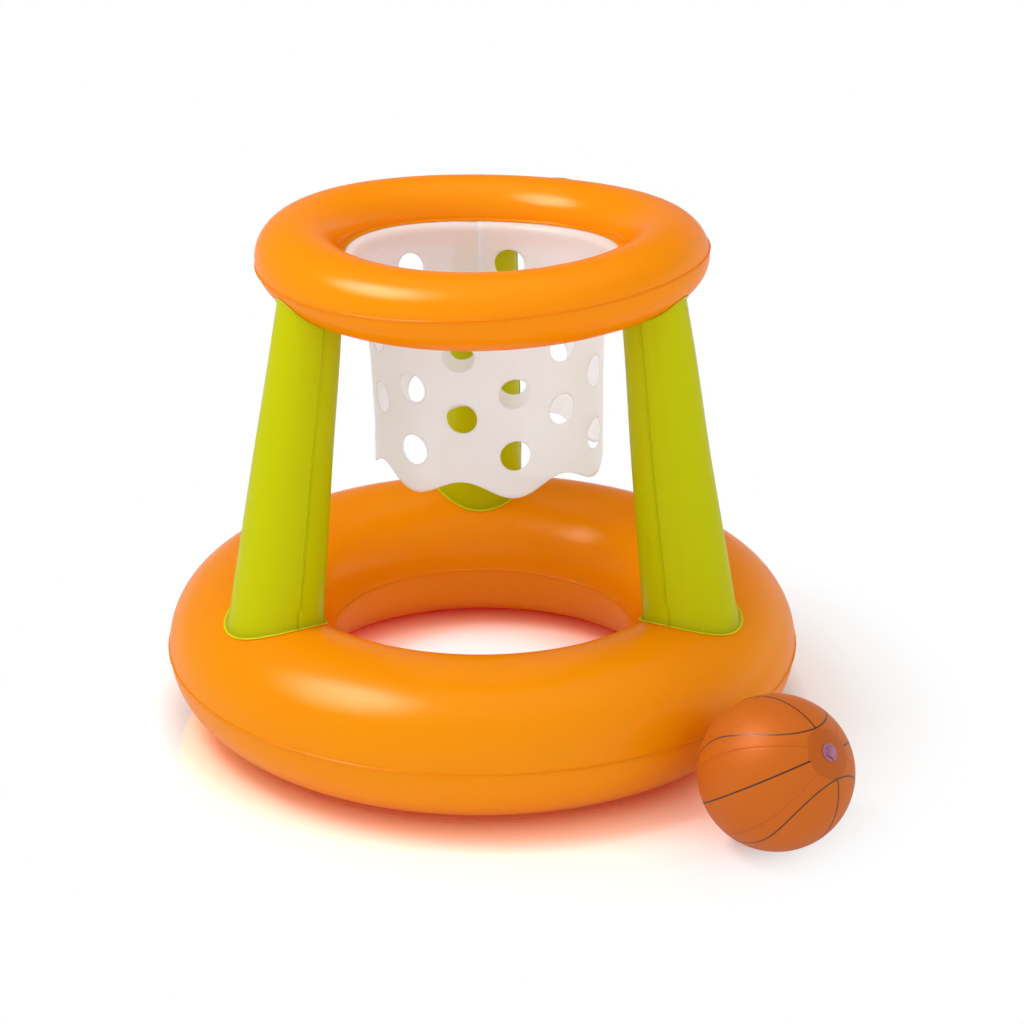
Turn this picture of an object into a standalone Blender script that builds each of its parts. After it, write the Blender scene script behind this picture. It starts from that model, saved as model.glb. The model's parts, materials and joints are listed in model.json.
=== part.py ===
"""A floating basketball hoop with its ball, as the welded films and valves that it is made of.

The base ring and the hoop ring are tubes, each of an upper and a lower film welded along their
outer and inner seams. Three posts of two films each stand on the base ring and carry the hoop
ring. A punched sheet, rolled and lapped, hangs as the net from the hoop ring's inner flange. The
ball is six gores and two pole discs. Each air chamber has a valve.

Lengths are metres, +Z is up and the camera's side is -Y. Heights start at the floor. Plan places
are measured from the hoop's axis, and one empty then moves the whole set over its origin, which
is the middle of the set's outline on the floor.
"""

import math

import bmesh
import bpy
from mathutils import Matrix, Vector

# Films and welds
film_thickness = 0.0003
weld_gap = 0.0003
seam_fin_width = 0.0015

# Base ring
base_ring_radius = 0.249
base_tube_half_width = 0.086
base_tube_half_height = 0.077
base_rest_depth = 0.0005
base_steps = 48
base_segments = 8

# Hoop ring
hoop_ring_radius = 0.188
hoop_tube_half_width = 0.0425
hoop_tube_half_height = 0.0367
hoop_centre_height = 0.493
hoop_inner_flange_width = 0.006
hoop_steps = 48
hoop_segments = 6

# Posts, named by where they stand as the camera sees them
post_azimuths = {"left": 210.0, "right": 330.0, "rear": 90.0}
post_foot_radius = 0.0483
post_foot_inset = 0.0054
post_head_outer_margin = 0.0056
post_head_inner_margin = 0.0165
post_foot_flare = 0.0018
post_flare_height = 0.016
post_flange_width = 0.0032
post_flare_shares = (0.4, 1.0)
post_seat_gap = 0.0006
post_columns = 10
air_hole_radius = 0.010

# Net
net_thickness = 0.0004
net_weld_clearance = 0.001
net_weld_width = 0.0075
net_neck_width = 0.008
net_neck_depth = 0.0085
net_taper = 0.0105
net_drop = 0.2105
net_scallop_rise = 0.0085
net_lap_width = 0.006
net_columns = 56
net_body_rows = 5
net_bend_rows = 3
net_flare_power = 3.0
net_lean = 0.0075
net_lean_power = 1.7
lobe_count = 7
lobe_azimuth = -77.6
hole_radius = 0.0155
hole_hem_margin = 0.0365
hole_pitch = 0.0655
hole_stagger = 0.040
hole_sides = 12
lobe_hole_count = 3
crest_hole_count = 2

# Ball
ball_radius = 0.0755
ball_azimuth = -50.2
ball_ring_gap = 0.0204
ball_pole_azimuth = -45.0
ball_pole_elevation = 35.3
ball_roll = -2.5
ball_disc_radius = 0.0246
ball_gore_count = 6
ball_gore_columns = 4
ball_gore_rows = 9
ball_disc_rings = 2

# Valves, all three alike
valve_flange_radius = 0.009
valve_flange_thickness = 0.0008
valve_stem_radius = 0.0048
valve_bore_radius = 0.0034
valve_stem_length = 0.012
valve_lip_radius = 0.0058
valve_lip_thickness = 0.001
valve_hole_clearance = 0.0005
valve_running_gap = 0.0003
valve_seat_margin = 0.0015
plug_cap_radius = 0.005
plug_cap_thickness = 0.0012
plug_shank_length = 0.005
plug_tab_width = 0.003
plug_tab_reach = 0.0085
plug_tab_thickness = 0.0008
flap_radius = 0.0042
flap_thickness = 0.0005
valve_sides = 16
valve_azimuth = 63.0
valve_facet = 1

# Cutters run this far past what they cut
overrun = 0.004

# Screw modifiers join points closer than this
join_distance = 0.00005

# Halvings that find where a post meets a ring
search_steps = 40

ORANGE = (0.96, 0.37, 0.01)
LIME = (0.52, 0.56, 0.01)
NET_WHITE = (0.86, 0.82, 0.83)
BALL_BROWN = (0.66, 0.16, 0.025)
VALVE_CLEAR = (0.78, 0.74, 0.84)


def ring(radius, half_width, half_height, centre_height, steps, segments):
    """The sizes of one inflated ring, with the counts of its facets."""
    return {
        "radius": radius,
        "half_width": half_width,
        "half_height": half_height,
        "centre_height": centre_height,
        "steps": steps,
        "segments": segments,
    }


base = ring(
    base_ring_radius,
    base_tube_half_width,
    base_tube_half_height,
    base_tube_half_height - base_rest_depth,
    base_steps,
    base_segments,
)
hoop = ring(
    hoop_ring_radius,
    hoop_tube_half_width,
    hoop_tube_half_height,
    hoop_centre_height,
    hoop_steps,
    hoop_segments,
)


def empty_scene():
    """Remove the objects that the file opened with and make the two collections."""
    for old in list(bpy.data.objects):
        bpy.data.objects.remove(old, do_unlink=True)
    parts = bpy.data.collections.new("floating_basketball_hoop")
    cutters = bpy.data.collections.new("cutters")
    bpy.context.scene.collection.children.link(parts)
    bpy.context.scene.collection.children.link(cutters)
    return parts, cutters


def film_material(name, colour, roughness, alpha=1.0):
    """A Principled material for a soft vinyl."""
    material = bpy.data.materials.new(name)
    material.use_nodes = True
    shader = material.node_tree.nodes["Principled BSDF"]
    shader.inputs["Base Color"].default_value = (*colour, 1.0)
    shader.inputs["Roughness"].default_value = roughness
    shader.inputs["Metallic"].default_value = 0.0
    shader.inputs["Alpha"].default_value = alpha
    material.diffuse_color = (*colour, alpha)
    return material


def place(obj, parent, location=(0.0, 0.0, 0.0), rotation=(0.0, 0.0, 0.0)):
    """Put an object under its parent."""
    obj.parent = parent
    obj.location = location
    obj.rotation_euler = rotation
    return obj


def new_object(name, mesh, collection, material=None):
    """Link an object for a mesh, with its material in the mesh's first slot."""
    obj = bpy.data.objects.new(name, mesh)
    collection.objects.link(obj)
    if material is not None and not mesh.materials:
        mesh.materials.append(material)
    return obj


def new_empty(name, collection, parent, location, rotation=(0.0, 0.0, 0.0)):
    """An empty that carries other objects."""
    carrier = bpy.data.objects.new(name, None)
    carrier.empty_display_size = valve_flange_radius
    collection.objects.link(carrier)
    return place(carrier, parent, location, rotation)


def thicken(obj, thickness):
    """Give an open film its thickness, on the side away from its normals."""
    wall = obj.modifiers.new("film", "SOLIDIFY")
    wall.thickness = thickness
    wall.offset = -1.0
    return wall


def turned(name, profile, steps, collection, material, closed=False):
    """Turn a profile of (radius, height) points about Z. It runs down on its outer side."""
    shape = bmesh.new()
    points = [shape.verts.new((radius, 0.0, height)) for radius, height in profile]
    for first, second in zip(points, points[1:]):
        shape.edges.new((first, second))
    if closed:
        shape.edges.new((points[-1], points[0]))
    mesh = bpy.data.meshes.new(name)
    shape.to_mesh(mesh)
    shape.free()
    obj = new_object(name, mesh, collection, material)
    turn = obj.modifiers.new("turn", "SCREW")
    turn.axis = "Z"
    turn.steps = steps
    turn.render_steps = steps
    turn.use_smooth_shade = True
    turn.use_merge_vertices = True
    turn.merge_threshold = join_distance
    return obj


def lofted(name, rows, collection, material):
    """An open film through rows of points. Seen from outside, rows go up and points go left."""
    shape = bmesh.new()
    grid = [[shape.verts.new(point) for point in row] for row in rows]
    for lower, upper in zip(grid, grid[1:]):
        for index in range(len(lower) - 1):
            corners = (lower[index + 1], lower[index], upper[index], upper[index + 1])
            face = shape.faces.new(corners)
            face.smooth = True
    mesh = bpy.data.meshes.new(name)
    shape.to_mesh(mesh)
    shape.free()
    return new_object(name, mesh, collection, material)


def cylinder_into(shape, radius, length, sides, matrix):
    """Add a closed cylinder, centred on the matrix's origin and along its Z, to a bmesh."""
    bmesh.ops.create_cone(
        shape,
        cap_ends=True,
        segments=sides,
        radius1=radius,
        radius2=radius,
        depth=length,
        matrix=matrix,
    )


def cylinder_cutter(name, radius, length, sides, collection, matrices=(Matrix.Identity(4),)):
    """One cutter object that holds a cylinder for each matrix."""
    shape = bmesh.new()
    for matrix in matrices:
        cylinder_into(shape, radius, length, sides, matrix)
    mesh = bpy.data.meshes.new(name)
    shape.to_mesh(mesh)
    shape.free()
    cutter = new_object(name, mesh, collection)
    cutter.hide_render = True
    cutter.display_type = "WIRE"
    return cutter


def cut(obj, cutter):
    """Take the cutter's space out of an object."""
    hole = obj.modifiers.new("hole", "BOOLEAN")
    hole.operation = "DIFFERENCE"
    hole.solver = "EXACT"
    hole.object = cutter


def tube_point(sizes, tube_angle):
    """A point of a ring's outer surface, as (radius, height above the ring's centre)."""
    radius = sizes["radius"] + sizes["half_width"] * math.cos(tube_angle)
    return radius, sizes["half_height"] * math.sin(tube_angle)


def upper_profile(sizes, outer_fin, inner_fin):
    """The upper film's profile, from its inner seam fin over the crown to its outer one."""
    fin_height = weld_gap / 2 + film_thickness
    arc = [
        tube_point(sizes, math.pi * (1 - index / sizes["segments"]))
        for index in range(1, sizes["segments"])
    ]
    inner_side = sizes["radius"] - sizes["half_width"]
    outer_side = sizes["radius"] + sizes["half_width"]
    return [
        (inner_side - inner_fin, fin_height),
        (inner_side, fin_height),
        *arc,
        (outer_side, fin_height),
        (outer_side + outer_fin, fin_height),
    ]


def lower_profile(sizes, outer_fin, inner_fin, rest_depth=0.0):
    """The lower film's profile, from its outer fin to its inner one, flat where it rests."""
    upper = upper_profile(sizes, outer_fin, inner_fin)
    profile = [(radius, -height) for radius, height in reversed(upper)]
    if rest_depth:
        middle = len(profile) // 2
        rest_height = sizes["half_height"] - rest_depth
        share_of_height = rest_height / sizes["half_height"]
        half_flat = sizes["half_width"] * math.sqrt(1 - share_of_height**2)
        profile[middle : middle + 1] = [
            (sizes["radius"] + half_flat, -rest_height),
            (sizes["radius"] - half_flat, -rest_height),
        ]
    return profile


def ring_panels(name, sizes, inner_fin, rest_depth, collection, material, parent):
    """The upper and the lower film of one ring."""
    panels = []
    profiles = {
        "top": upper_profile(sizes, seam_fin_width, inner_fin),
        "bottom": lower_profile(sizes, seam_fin_width, inner_fin, rest_depth),
    }
    for side, profile in profiles.items():
        panel = turned(f"{name}_ring_{side}_panel", profile, sizes["steps"], collection, material)
        thicken(panel, film_thickness)
        place(panel, parent, (0.0, 0.0, sizes["centre_height"]))
        panels.append(panel)
    return panels


def ring_reach():
    """From the hoop's axis to the outer edge of the base ring's seam."""
    return base["radius"] + base["half_width"] + seam_fin_width


def facet_seat(sizes, near_azimuth, segment_index):
    """The middle of one flat facet of a ring's upper film, and the rotation of its normal."""
    half_step = math.pi / sizes["steps"]
    azimuth = (2 * int(near_azimuth / (2 * half_step)) + 1) * half_step
    outer = tube_point(sizes, math.pi * segment_index / sizes["segments"])
    inner = tube_point(sizes, math.pi * (segment_index + 1) / sizes["segments"])
    radius = (outer[0] + inner[0]) / 2 * math.cos(half_step)
    height = (outer[1] + inner[1]) / 2 + sizes["centre_height"]
    tilt = math.atan2(inner[1] - outer[1], (outer[0] - inner[0]) * math.cos(half_step))
    place_on_ring = (radius * math.cos(azimuth), radius * math.sin(azimuth), height)
    return place_on_ring, (0.0, tilt, azimuth)


def post_axis(height):
    """The post's axis and half width at a height, as (radius from the hoop's axis, half width)."""
    foot_height = base["centre_height"] + base["half_height"]
    head_height = hoop["centre_height"]
    foot_axis = base["radius"] - post_foot_inset
    head_axis = hoop["radius"] + (post_head_inner_margin - post_head_outer_margin) / 2
    head_radius = hoop["half_width"] - (post_head_inner_margin + post_head_outer_margin) / 2
    climb = (height - foot_height) / (head_height - foot_height)
    axis = foot_axis + (head_axis - foot_axis) * climb
    return axis, post_foot_radius + (head_radius - post_foot_radius) * climb


def post_point(turn, height, spread=0.0):
    """A point of the post that stands along +X, at a turn about its own axis."""
    axis, radius = post_axis(height)
    radius += spread
    return Vector((axis + radius * math.cos(turn), radius * math.sin(turn), height))


def ring_depth(sizes, point, offset):
    """Below zero inside a ring that is grown by the offset, above zero outside."""
    out = math.hypot(point.x, point.y) - sizes["radius"]
    up = point.z - sizes["centre_height"]
    share_out = out / (sizes["half_width"] + offset)
    share_up = up / (sizes["half_height"] + offset)
    return share_out**2 + share_up**2 - 1


def meeting_height(sizes, turn, offset, outside_height):
    """Where a straight line of the post meets a ring, between its centre and a height outside."""
    inside = sizes["centre_height"]
    outside = outside_height
    for _ in range(search_steps):
        middle = (inside + outside) / 2
        if ring_depth(sizes, post_point(turn, middle), offset) < 0:
            inside = middle
        else:
            outside = middle
    return (inside + outside) / 2


def along_ring(sizes, point, turn, distance, offset):
    """Move a point away from the post's axis along a ring's surface."""
    out = math.hypot(point.x, point.y) - sizes["radius"]
    up = point.z - sizes["centre_height"]
    radial = Vector((point.x, point.y, 0.0)).normalized()
    steep = up / (sizes["half_height"] + offset) ** 2
    wide = out / (sizes["half_width"] + offset) ** 2
    normal = (radial * wide + Vector((0.0, 0.0, steep))).normalized()
    away = Vector((math.cos(turn), math.sin(turn), 0.0))
    away -= normal * away.dot(normal)
    moved = point + away.normalized() * distance
    out = math.hypot(moved.x, moved.y) - sizes["radius"]
    up = moved.z - sizes["centre_height"]
    angle = math.atan2(up / (sizes["half_height"] + offset), out / (sizes["half_width"] + offset))
    radius = sizes["radius"] + (sizes["half_width"] + offset) * math.cos(angle)
    radial = Vector((moved.x, moved.y, 0.0)).normalized() * radius
    height = sizes["centre_height"] + (sizes["half_height"] + offset) * math.sin(angle)
    return Vector((radial.x, radial.y, height))


def post_column(turn):
    """One line of a post's film, from the rim of its foot flange to the rim of its head flange."""
    offset = post_seat_gap + film_thickness
    clear = base["centre_height"] + base["half_height"] + offset + overrun
    foot_height = meeting_height(base, turn, offset, clear)
    foot = post_point(turn, foot_height)
    clear = hoop["centre_height"] - hoop["half_height"] - offset - overrun
    head_height = meeting_height(hoop, turn, offset, clear)
    head = post_point(turn, head_height)
    column = [
        along_ring(base, foot, turn, post_foot_flare + post_flange_width, offset),
        along_ring(base, foot, turn, post_foot_flare, offset),
    ]
    for climb_share in post_flare_shares:
        spread = post_foot_flare * (1 - climb_share) ** 2
        height = foot_height + post_flare_height * climb_share
        column.append(post_point(turn, height, spread))
    column.append(head)
    column.append(along_ring(hoop, head, turn, post_flange_width, offset))
    return column


def post_panel_rows(middle_turn):
    """The rows of an outer or an inner post film. Its two sides stop short of the seam plane."""
    _, head_radius = post_axis(hoop["centre_height"])
    seam_angle = weld_gap / 2 / head_radius
    sweep = math.pi - 2 * seam_angle
    columns = []
    for index in range(post_columns + 1):
        turn = middle_turn + sweep * (0.5 - index / post_columns)
        columns.append(post_column(turn))
    return [list(row) for row in zip(*columns)]


def posts(collection, material, parent):
    """Three posts of two films each, which share the two meshes."""
    for side, middle_turn in {"outer": 0.0, "inner": math.pi}.items():
        rows = post_panel_rows(middle_turn)
        mesh = None
        for where, azimuth in post_azimuths.items():
            name = f"post_{where}_{side}_panel"
            if mesh is None:
                panel = lofted(name, rows, collection, material)
                mesh = panel.data
            else:
                panel = new_object(name, mesh, collection)
            thicken(panel, film_thickness)
            place(panel, parent, rotation=(0.0, 0.0, math.radians(azimuth)))


def air_hole_cutter(collection, parent):
    """A cutter for the holes that join the posts' air to the hoop ring's."""
    axis, _ = post_axis(hoop["centre_height"])
    matrices = []
    for azimuth in post_azimuths.values():
        turn = math.radians(azimuth)
        spot = (axis * math.cos(turn), axis * math.sin(turn), hoop["centre_height"])
        matrices.append(Matrix.Translation(spot))
    length = 2 * (hoop["half_height"] + overrun)
    cutter = cylinder_cutter("air_holes", air_hole_radius, length, valve_sides, collection, matrices)
    return place(cutter, parent)


def net_sizes():
    """The places of the net's outer face: where it is welded, bends down and ends."""
    flange_underside = hoop["centre_height"] - weld_gap / 2 - film_thickness
    weld_radius = hoop["radius"] - hoop["half_width"] - net_weld_clearance
    rim_radius = weld_radius - net_weld_width
    neck_radius = rim_radius - net_neck_width
    rim_height = flange_underside - weld_gap - net_thickness
    return {
        "weld_radius": weld_radius,
        "rim_radius": rim_radius,
        "rim_height": rim_height,
        "neck_radius": neck_radius,
        "neck_height": rim_height - net_neck_depth,
        "hem_radius": neck_radius - net_taper,
        "hem_height": hoop["centre_height"] - net_drop,
    }


net_places = net_sizes()


def net_radius(height):
    """The net's outer radius at a height below its neck."""
    hem_height = net_places["hem_height"]
    rise = (height - hem_height) / (net_places["neck_height"] - hem_height)
    return net_places["hem_radius"] + net_taper * max(rise, 0.0) ** net_flare_power


def net_place(radius, turn, height):
    """A point of the net. It hangs a little to the right as the camera sees it, most at its hem."""
    drop = net_places["neck_height"] - net_places["hem_height"]
    above_hem = min(max((height - net_places["hem_height"]) / drop, 0.0), 1.0)
    lean = net_lean * (1 - above_hem**net_lean_power)
    return Vector((radius * math.cos(turn) + lean, radius * math.sin(turn), height))


def net_profile(hem_height):
    """The net's outer face from its weld to its hem, as (radius, height) points."""
    points = [(net_places["weld_radius"], net_places["rim_height"])]
    for index in range(net_bend_rows + 1):
        angle = math.pi / 2 * index / net_bend_rows
        radius = net_places["rim_radius"] - net_neck_width * math.sin(angle)
        height = net_places["rim_height"] - net_neck_depth * (1 - math.cos(angle))
        points.append((radius, height))
    neck_height = net_places["neck_height"]
    for index in range(1, net_body_rows + 1):
        height = neck_height + (hem_height - neck_height) * index / net_body_rows
        points.append((net_radius(height), height))
    return points


def moved_out(points, distance):
    """A profile moved along its own normals, down at its weld and outwards on its body."""
    moved = []
    for index, (radius, height) in enumerate(points):
        before = points[max(index - 1, 0)]
        after = points[min(index + 1, len(points) - 1)]
        along = Vector((after[0] - before[0], after[1] - before[1])).normalized()
        moved.append((radius - along.y * distance, height + along.x * distance))
    return moved


def net_column(turn, lap_offset):
    """One line of the net from its hem up to its weld, at a turn about the hoop's axis."""
    lobe = math.cos(lobe_count * (turn - math.radians(lobe_azimuth)))
    hem_height = net_places["hem_height"] - net_scallop_rise * lobe
    column = []
    for radius, height in reversed(moved_out(net_profile(hem_height), lap_offset)):
        column.append(net_place(radius, turn, height))
    return column


def net_sheet(collection, material, parent):
    """The net: a sheet rolled once round, whose second end laps inside its first."""
    lap_step = net_thickness + weld_gap
    lap_angle = net_lap_width / net_places["hem_radius"]
    sweep = 2 * math.pi + lap_angle
    first_turn = math.radians(post_azimuths["rear"]) - lap_angle / 2
    columns = []
    for index in range(net_columns, -1, -1):
        share = index / net_columns
        columns.append(net_column(first_turn + sweep * share, lap_step * (1 - share)))
    net = lofted("net", [list(row) for row in zip(*columns)], collection, material)
    thicken(net, net_thickness)
    return place(net, parent)


def net_hole_cutter(collection, parent):
    """A cutter with a cylinder for each hole: three rows over a lobe and two over a crest."""
    matrices = []
    for index in range(2 * lobe_count):
        azimuth = math.radians(lobe_azimuth) + math.pi * index / lobe_count
        over_crest = index % 2
        count = crest_hole_count if over_crest else lobe_hole_count
        low_height = net_places["hem_height"] + hole_hem_margin + hole_stagger * over_crest
        for row in range(count):
            height = low_height + hole_pitch * row
            spot = Matrix.Translation(net_place(net_radius(height), azimuth, height))
            aim = Matrix.Rotation(azimuth, 4, "Z") @ Matrix.Rotation(math.pi / 2, 4, "Y")
            matrices.append(spot @ aim)
    length = 2 * (net_thickness + weld_gap + overrun)
    cutter = cylinder_cutter("net_holes", hole_radius, length, hole_sides, collection, matrices)
    return place(cutter, parent)


def valve_cutter(name, collection, seat):
    """A cutter for the hole in the film under a valve."""
    radius = valve_lip_radius + valve_hole_clearance
    cutter = cylinder_cutter(name, radius, 2 * overrun, valve_sides, collection)
    return place(cutter, seat)


def valve(prefix, collection, material, seat):
    """A flange, a stem that slides in it, and the stem's plug and check flap."""
    flange_top = weld_gap + valve_flange_thickness
    flange_hole = valve_stem_radius + valve_running_gap
    flange_profile = [
        (valve_flange_radius, flange_top),
        (valve_flange_radius, weld_gap),
        (flange_hole, weld_gap),
        (flange_hole, flange_top),
    ]
    flange = turned(f"{prefix}_valve_flange", flange_profile, valve_sides, collection, material, True)
    place(flange, seat)

    stem_profile = [
        (valve_stem_radius, 0.0),
        (valve_stem_radius, valve_lip_thickness - valve_stem_length),
        (valve_lip_radius, valve_lip_thickness - valve_stem_length),
        (valve_lip_radius, -valve_stem_length),
        (valve_bore_radius, -valve_stem_length),
        (valve_bore_radius, 0.0),
    ]
    stem = turned(f"{prefix}_valve_stem", stem_profile, valve_sides, collection, material, True)
    place(stem, seat, (0.0, 0.0, flange_top))

    cap_bottom = valve_running_gap
    cap_top = cap_bottom + plug_cap_thickness
    shank_radius = valve_bore_radius - valve_running_gap
    plug_profile = [
        (0.0, cap_top),
        (plug_cap_radius, cap_top),
        (plug_cap_radius, cap_bottom),
        (shank_radius, cap_bottom),
        (shank_radius, -plug_shank_length),
        (0.0, -plug_shank_length),
    ]
    plug = turned(f"{prefix}_valve_plug", plug_profile, valve_sides, collection, material)
    place(plug, stem)
    tab = pull_tab(f"{prefix}_plug_tab", cap_bottom)
    place(tab, stem)
    joined = plug.modifiers.new("tab", "BOOLEAN")
    joined.operation = "UNION"
    joined.solver = "EXACT"
    joined.object = tab

    shape = bmesh.new()
    middle = Matrix.Translation((0.0, -flap_radius, 0.0))
    cylinder_into(shape, flap_radius, flap_thickness, valve_sides, middle)
    mesh = bpy.data.meshes.new(f"{prefix}_valve_flap")
    shape.to_mesh(mesh)
    shape.free()
    flap = new_object(f"{prefix}_valve_flap", mesh, collection, material)
    flap_height = -valve_stem_length - valve_running_gap - flap_thickness / 2
    place(flap, stem, (0.0, flap_radius, flap_height))


def pull_tab(name, bottom):
    """The tab that the plug is pulled by, a bar from the cap's middle out over the flange."""
    shape = bmesh.new()
    bmesh.ops.create_cube(shape, size=1.0)
    bar = Matrix.Diagonal((plug_tab_reach, plug_tab_width, plug_tab_thickness, 1.0))
    middle = Matrix.Translation((plug_tab_reach / 2, 0.0, bottom + plug_tab_thickness / 2))
    bmesh.ops.transform(shape, matrix=middle @ bar, verts=shape.verts)
    mesh = bpy.data.meshes.new(name)
    shape.to_mesh(mesh)
    shape.free()
    tab = new_object(name, mesh, bpy.data.collections["cutters"])
    tab.hide_render = True
    tab.display_type = "WIRE"
    return tab


def ball_place():
    """Where the ball's centre stands, from the hoop's axis."""
    turn = math.radians(ball_azimuth)
    distance = ring_reach() + ball_ring_gap + ball_radius
    return distance * math.cos(turn), distance * math.sin(turn)


def ball_point(polar, longitude):
    """A point of the ball, from its valve's pole."""
    out = ball_radius * math.sin(polar)
    return Vector((out * math.cos(longitude), out * math.sin(longitude), ball_radius * math.cos(polar)))


def gore_rows():
    """The rows of one gore, from the plain disc's edge up to the valve disc's edge."""
    pole_angle = math.asin(ball_disc_radius / ball_radius)
    half_gore = math.pi / ball_gore_count
    rows = []
    for index in range(ball_gore_rows + 1):
        polar = math.pi - pole_angle - (math.pi - 2 * pole_angle) * index / ball_gore_rows
        seam_angle = weld_gap / 2 / (ball_radius * math.sin(polar))
        half_sweep = half_gore - seam_angle
        row = []
        for column in range(ball_gore_columns + 1):
            longitude = half_gore + half_sweep * (1 - 2 * column / ball_gore_columns)
            row.append(ball_point(polar, longitude))
        rows.append(row)
    return rows


def disc_profile(seat_radius):
    """A pole disc's profile from its middle to its rim: flat in the middle, then round."""
    rim = ball_disc_radius - weld_gap
    points = [(seat_radius, math.sqrt(ball_radius**2 - seat_radius**2))]
    for index in range(1, ball_disc_rings + 1):
        radius = seat_radius + (rim - seat_radius) * index / ball_disc_rings
        points.append((radius, math.sqrt(ball_radius**2 - radius**2)))
    return points


def ball(collection, film, clear, parent):
    """Six gores, the two pole discs and the valve, under an empty at the ball's centre."""
    tilt = math.radians(90.0 - ball_pole_elevation)
    turn = math.radians(ball_pole_azimuth)
    spot = (*ball_place(), ball_radius)
    centre = new_empty("ball_centre", collection, parent, spot, (0.0, tilt, turn))
    roll = math.radians(ball_roll)
    rows = gore_rows()
    mesh = None
    for index in range(ball_gore_count):
        name = f"ball_gore_{index + 1}"
        if mesh is None:
            gore = lofted(name, rows, collection, film)
            mesh = gore.data
        else:
            gore = new_object(name, mesh, collection)
        thicken(gore, film_thickness)
        gore_turn = roll + 2 * math.pi * index / ball_gore_count
        place(gore, centre, rotation=(0.0, 0.0, gore_turn))

    disc_steps = ball_gore_count * ball_gore_columns
    seat_radius = valve_flange_radius + valve_seat_margin
    profile = disc_profile(seat_radius)
    seat_height = profile[0][1]
    hole_edge = (valve_lip_radius + valve_hole_clearance, seat_height)
    valve_disc = turned("ball_valve_disc", [hole_edge, *profile], disc_steps, collection, film)
    thicken(valve_disc, film_thickness)
    place(valve_disc, centre, rotation=(0.0, 0.0, roll))
    plain_disc = turned("ball_plain_disc", [(0.0, seat_height), *profile], disc_steps, collection, film)
    thicken(plain_disc, film_thickness)
    place(plain_disc, centre, rotation=(0.0, math.pi, roll))

    seat = new_empty("ball_valve_seat", collection, centre, (0.0, 0.0, seat_height))
    valve("ball", collection, clear, seat)


def ring_valve(prefix, sizes, panel, parts, cutters, clear, parent):
    """A valve on a flat facet of a ring's upper film, behind the camera's view."""
    spot, rotation = facet_seat(sizes, math.radians(valve_azimuth), valve_facet)
    seat = new_empty(f"{prefix}_valve_seat", parts, parent, spot, rotation)
    cut(panel, valve_cutter(f"{prefix}_valve_hole", cutters, seat))
    valve(prefix, parts, clear, seat)


def set_middle():
    """The middle of the set's outline on the floor, from the hoop's axis."""
    reach = ring_reach()
    middle = []
    for spot in ball_place():
        low = min(-reach, spot - ball_radius)
        high = max(reach, spot + ball_radius)
        middle.append((low + high) / 2)
    return middle


def build():
    """Model the whole set."""
    parts, cutters = empty_scene()
    orange = film_material("orange_vinyl", ORANGE, 0.3)
    lime = film_material("lime_vinyl", LIME, 0.35)
    white = film_material("net_vinyl", NET_WHITE, 0.4, 0.8)
    brown = film_material("ball_vinyl", BALL_BROWN, 0.4)
    clear = film_material("valve_vinyl", VALVE_CLEAR, 0.2, 0.6)

    middle_x, middle_y = set_middle()
    whole = new_empty("whole_set", parts, None, (-middle_x, -middle_y, 0.0))

    base_top, _ = ring_panels("base", base, seam_fin_width, base_rest_depth, parts, orange, whole)
    hoop_top, hoop_bottom = ring_panels(
        "hoop", hoop, hoop_inner_flange_width, 0.0, parts, orange, whole
    )
    posts(parts, lime, whole)
    cut(hoop_bottom, air_hole_cutter(cutters, whole))
    net = net_sheet(parts, white, whole)
    cut(net, net_hole_cutter(cutters, whole))
    ring_valve("base", base, base_top, parts, cutters, clear, whole)
    ring_valve("hoop", hoop, hoop_top, parts, cutters, clear, whole)
    ball(parts, brown, clear, whole)
    bpy.context.view_layer.update()


build()
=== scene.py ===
# %% [markdown]
# # A floating basketball hoop and its ball
#
# A wide orange ring floats on the water. Three lime posts stand on it and carry a smaller orange
# ring, and a punched white skirt hangs from that one as the net. An air-filled ball goes with it.
# Every piece is thin soft vinyl, so the looks come from smooth welded films, from light that
# passes a little way through them, and from wide soft reflections.
#
# The packed model is loaded first. Its nodes never move: each new piece is built in the same
# place, in metres, and says which node it stands for and which body it rides on.

import json
import math

import bmesh
import bpy
import numpy as np
from mathutils import Matrix, Vector

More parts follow.
